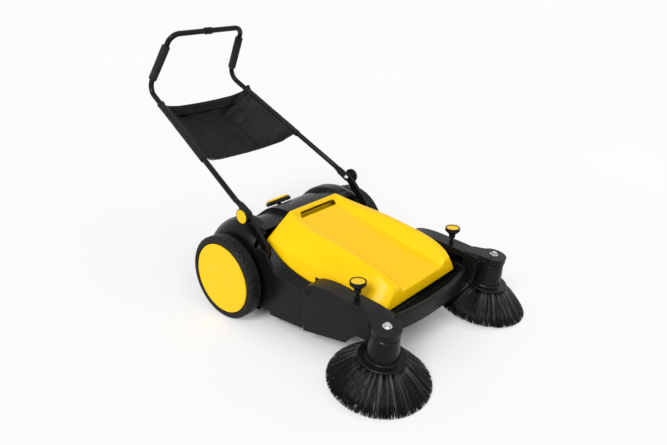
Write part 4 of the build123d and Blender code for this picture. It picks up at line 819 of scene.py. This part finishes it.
def bag_sleeve(side, sign):
    """The side seam of the bag, wrapped round its tube with small gathers."""
    around = 28
    count = 70
    overrun = 0.004        # past each end of the bag
    least_slack, gather_depth = 0.0012, 0.00066
    hang_depth, ear_depth, ear_start = 0.0022, 0.009, 0.93
    points = []
    faces = []
    run = Vector((sign * RUN.x, RUN.y, RUN.z))
    across, up = side_axes(run)
    foot = Vector((sign * FOLD.x, FOLD.y, FOLD.z))
    ear = 0.8 * UPWARD + Vector((0.6 * sign, 0, 0))
    for number in range(count + 1):
        t = number / count
        spot = foot + run * (BAG_START - overrun + (BAG_LENGTH + 2 * overrun) * t)
        for corner in range(around):
            turn = 2 * math.pi * corner / around
            outward = math.cos(turn) * across + math.sin(turn) * up
            gather = noise.noise(Vector((spot.y * 38.0, turn * 1.4, sign * 3.0)))
            slack = least_slack + gather_depth * (gather + 1.0)
            hang = max(0.0, outward.dot(-UPWARD)) * hang_depth
            flare = smooth_step((t - ear_start) / (1.0 - ear_start))
            hang += ear_depth * flare * max(0.0, outward.dot(ear))
            points.append(spot + outward * (TUBE_RADIUS + slack + hang))
    for ring in range(count):
        for corner in range(around):
            a = ring * around + corner
            b = ring * around + (corner + 1) % around
            faces.append((a, b, b + around, a + around))
    piece = add_piece(f"{side}_bag_sleeve", points, faces, "bag_cloth", "handle")
    thick = piece.modifiers.new("thick", "SOLIDIFY")
    thick.thickness = SLEEVE_THICK
    thick.offset = -1.0
    apply_modifiers(piece)
    return piece


bag, bag_columns, bag_rows = bag_sheet()
settle(bag)


def bag_row(row):
    start = row * (bag_columns + 1)
    return [bag.data.vertices[start + k].co.copy() for k in range(bag_columns + 1)]


hem_rows = 4
front_hem = hem_band("bag_front_hem", [bag_row(k) for k in range(hem_rows)])
rear_hem = hem_band("bag_rear_hem", [bag_row(bag_rows - k) for k in range(hem_rows + 1)])
raised = UPWARD * STITCH_LIFT
seam_lines = [
    [p + raised for p in bag_row(hem_rows - 1)],
    [p + raised for p in bag_row(bag_rows - hem_rows)],
]
thread = stitches("bag_stitches", seam_lines, "handle")
sleeves = [bag_sleeve(side, sign) for side, sign in SIDES]

skin = bag.modifiers.new("smooth", "SUBSURF")
skin.levels = 1
skin.render_levels = 1
thick = bag.modifiers.new("thick", "SOLIDIFY")
thick.thickness = CLOTH_THICK
thick.offset = 0.0
apply_modifiers(bag)
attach(bag, "handle")
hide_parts("storage_bag")


# Floor, light and camera

FLOOR_SIZE = 160.0
FLOOR_DROP = 0.0003
FLOOR_GLOW = 0.62             # share of plain white in the open floor
SHADE_OVAL = (0.33, 0.55)     # half sizes of the oval under the object that does not glow
WORLD_LIGHT = 0.55
LENS = 34.09
SENSOR_WIDTH = 36.0
CAMERA_PLACE = (-1.5558, AXLE_Y - 1.5394, 1.1901)
CAMERA_ANGLES = (49.17, 23.33, 0.76)   # yaw, pitch down and roll, in degrees


def white_ground():
    """A pale floor that shows white, and keeps the shadow of the object."""
    bpy.ops.mesh.primitive_plane_add(size=FLOOR_SIZE, location=(0, 0, -FLOOR_DROP))
    ground = bpy.context.object
    ground.name = "studio_floor"
    material, tree, shader = start_material("studio_floor")
    tree.nodes.remove(shader)
    output = tree.nodes["Material Output"]
    diffuse = node(tree, "ShaderNodeBsdfDiffuse")
    where = place(tree)
    tone = tones(tree, clouds(tree, where, 0.6, 2.0), (0.86, 0.86, 0.86), (0.90, 0.90, 0.90))
    tree.links.new(tone, diffuse.inputs["Color"])
    glow = node(tree, "ShaderNodeEmission")
    glow.inputs["Color"].default_value = (1.0, 1.0, 1.0, 1.0)
    path = node(tree, "ShaderNodeLightPath")
    seen = node(tree, "ShaderNodeMath", operation="MAXIMUM")
    tree.links.new(path.outputs["Is Camera Ray"], seen.inputs[0])
    tree.links.new(path.outputs["Is Glossy Ray"], seen.inputs[1])
    oval = place(tree, (1.0 / SHADE_OVAL[0], 1.0 / SHADE_OVAL[1], 1.0))
    away = node(tree, "ShaderNodeVectorMath", operation="LENGTH")
    tree.links.new(oval, away.inputs[0])
    share = node(tree, "ShaderNodeMath", operation="MULTIPLY")
    tree.links.new(seen.outputs["Value"], share.inputs[0])
    strength = between(tree, away.outputs["Value"], 0.0, FLOOR_GLOW, from_low=0.7, from_high=1.3)
    tree.links.new(strength, share.inputs[1])
    mix = node(tree, "ShaderNodeMixShader")
    tree.links.new(share.outputs["Value"], mix.inputs[0])
    tree.links.new(diffuse.outputs["BSDF"], mix.inputs[1])
    tree.links.new(glow.outputs["Emission"], mix.inputs[2])
    tree.links.new(mix.outputs["Shader"], output.inputs["Surface"])
    ground.data.materials.append(material)


def studio_world():
    """Even light all round, seen as white by the camera and in reflections."""
    world = bpy.data.worlds.new("studio")
    bpy.context.scene.world = world
    world.use_nodes = True
    tree = world.node_tree
    background = tree.nodes["Background"]
    background.inputs["Color"].default_value = (1.0, 1.0, 1.0, 1.0)
    path = node(tree, "ShaderNodeLightPath")
    seen = node(tree, "ShaderNodeMath", operation="MAXIMUM")
    tree.links.new(path.outputs["Is Camera Ray"], seen.inputs[0])
    tree.links.new(path.outputs["Is Glossy Ray"], seen.inputs[1])
    level = between(tree, seen.outputs["Value"], WORLD_LIGHT, 1.0, from_low=0.0, from_high=1.0)
    tree.links.new(level, background.inputs["Strength"])


def sun(name, direction, strength, angle):
    """A broad distant lamp; the angle is its width in degrees."""
    lamp = bpy.data.lights.new(name, "SUN")
    lamp.energy = strength
    lamp.angle = math.radians(angle)
    item = bpy.data.objects.new(name, lamp)
    item.rotation_mode = "QUATERNION"
    item.rotation_quaternion = Vector(direction).to_track_quat("-Z", "Y")
    bpy.context.scene.collection.objects.link(item)


def photo_camera():
    """The camera of the photograph."""
    data = bpy.data.cameras.new("photo_camera")
    data.sensor_width = SENSOR_WIDTH
    data.lens = LENS
    data.clip_end = 400.0
    camera = bpy.data.objects.new("photo_camera", data)
    bpy.context.scene.collection.objects.link(camera)
    bpy.context.scene.camera = camera
    yaw, pitch, roll = (math.radians(a) for a in CAMERA_ANGLES)
    ahead = Vector((math.sin(yaw) * math.cos(pitch), math.cos(yaw) * math.cos(pitch), -math.sin(pitch)))
    right = Vector((math.cos(yaw), -math.sin(yaw), 0.0))
    above = right.cross(ahead)
    rolled_right = math.cos(roll) * right + math.sin(roll) * above
    rolled_above = -math.sin(roll) * right + math.cos(roll) * above
    turn = Matrix((rolled_right, rolled_above, -ahead)).transposed().to_4x4()
    camera.matrix_world = Matrix.Translation(CAMERA_PLACE) @ turn


white_ground()
studio_world()
sun("key", (0.85, 0.25, -0.75), 2.0, 22.0)
sun("fill", (0.10, 0.9, -0.6), 0.5, 60.0)
photo_camera()
bpy.context.scene.view_settings.view_transform = "Standard"
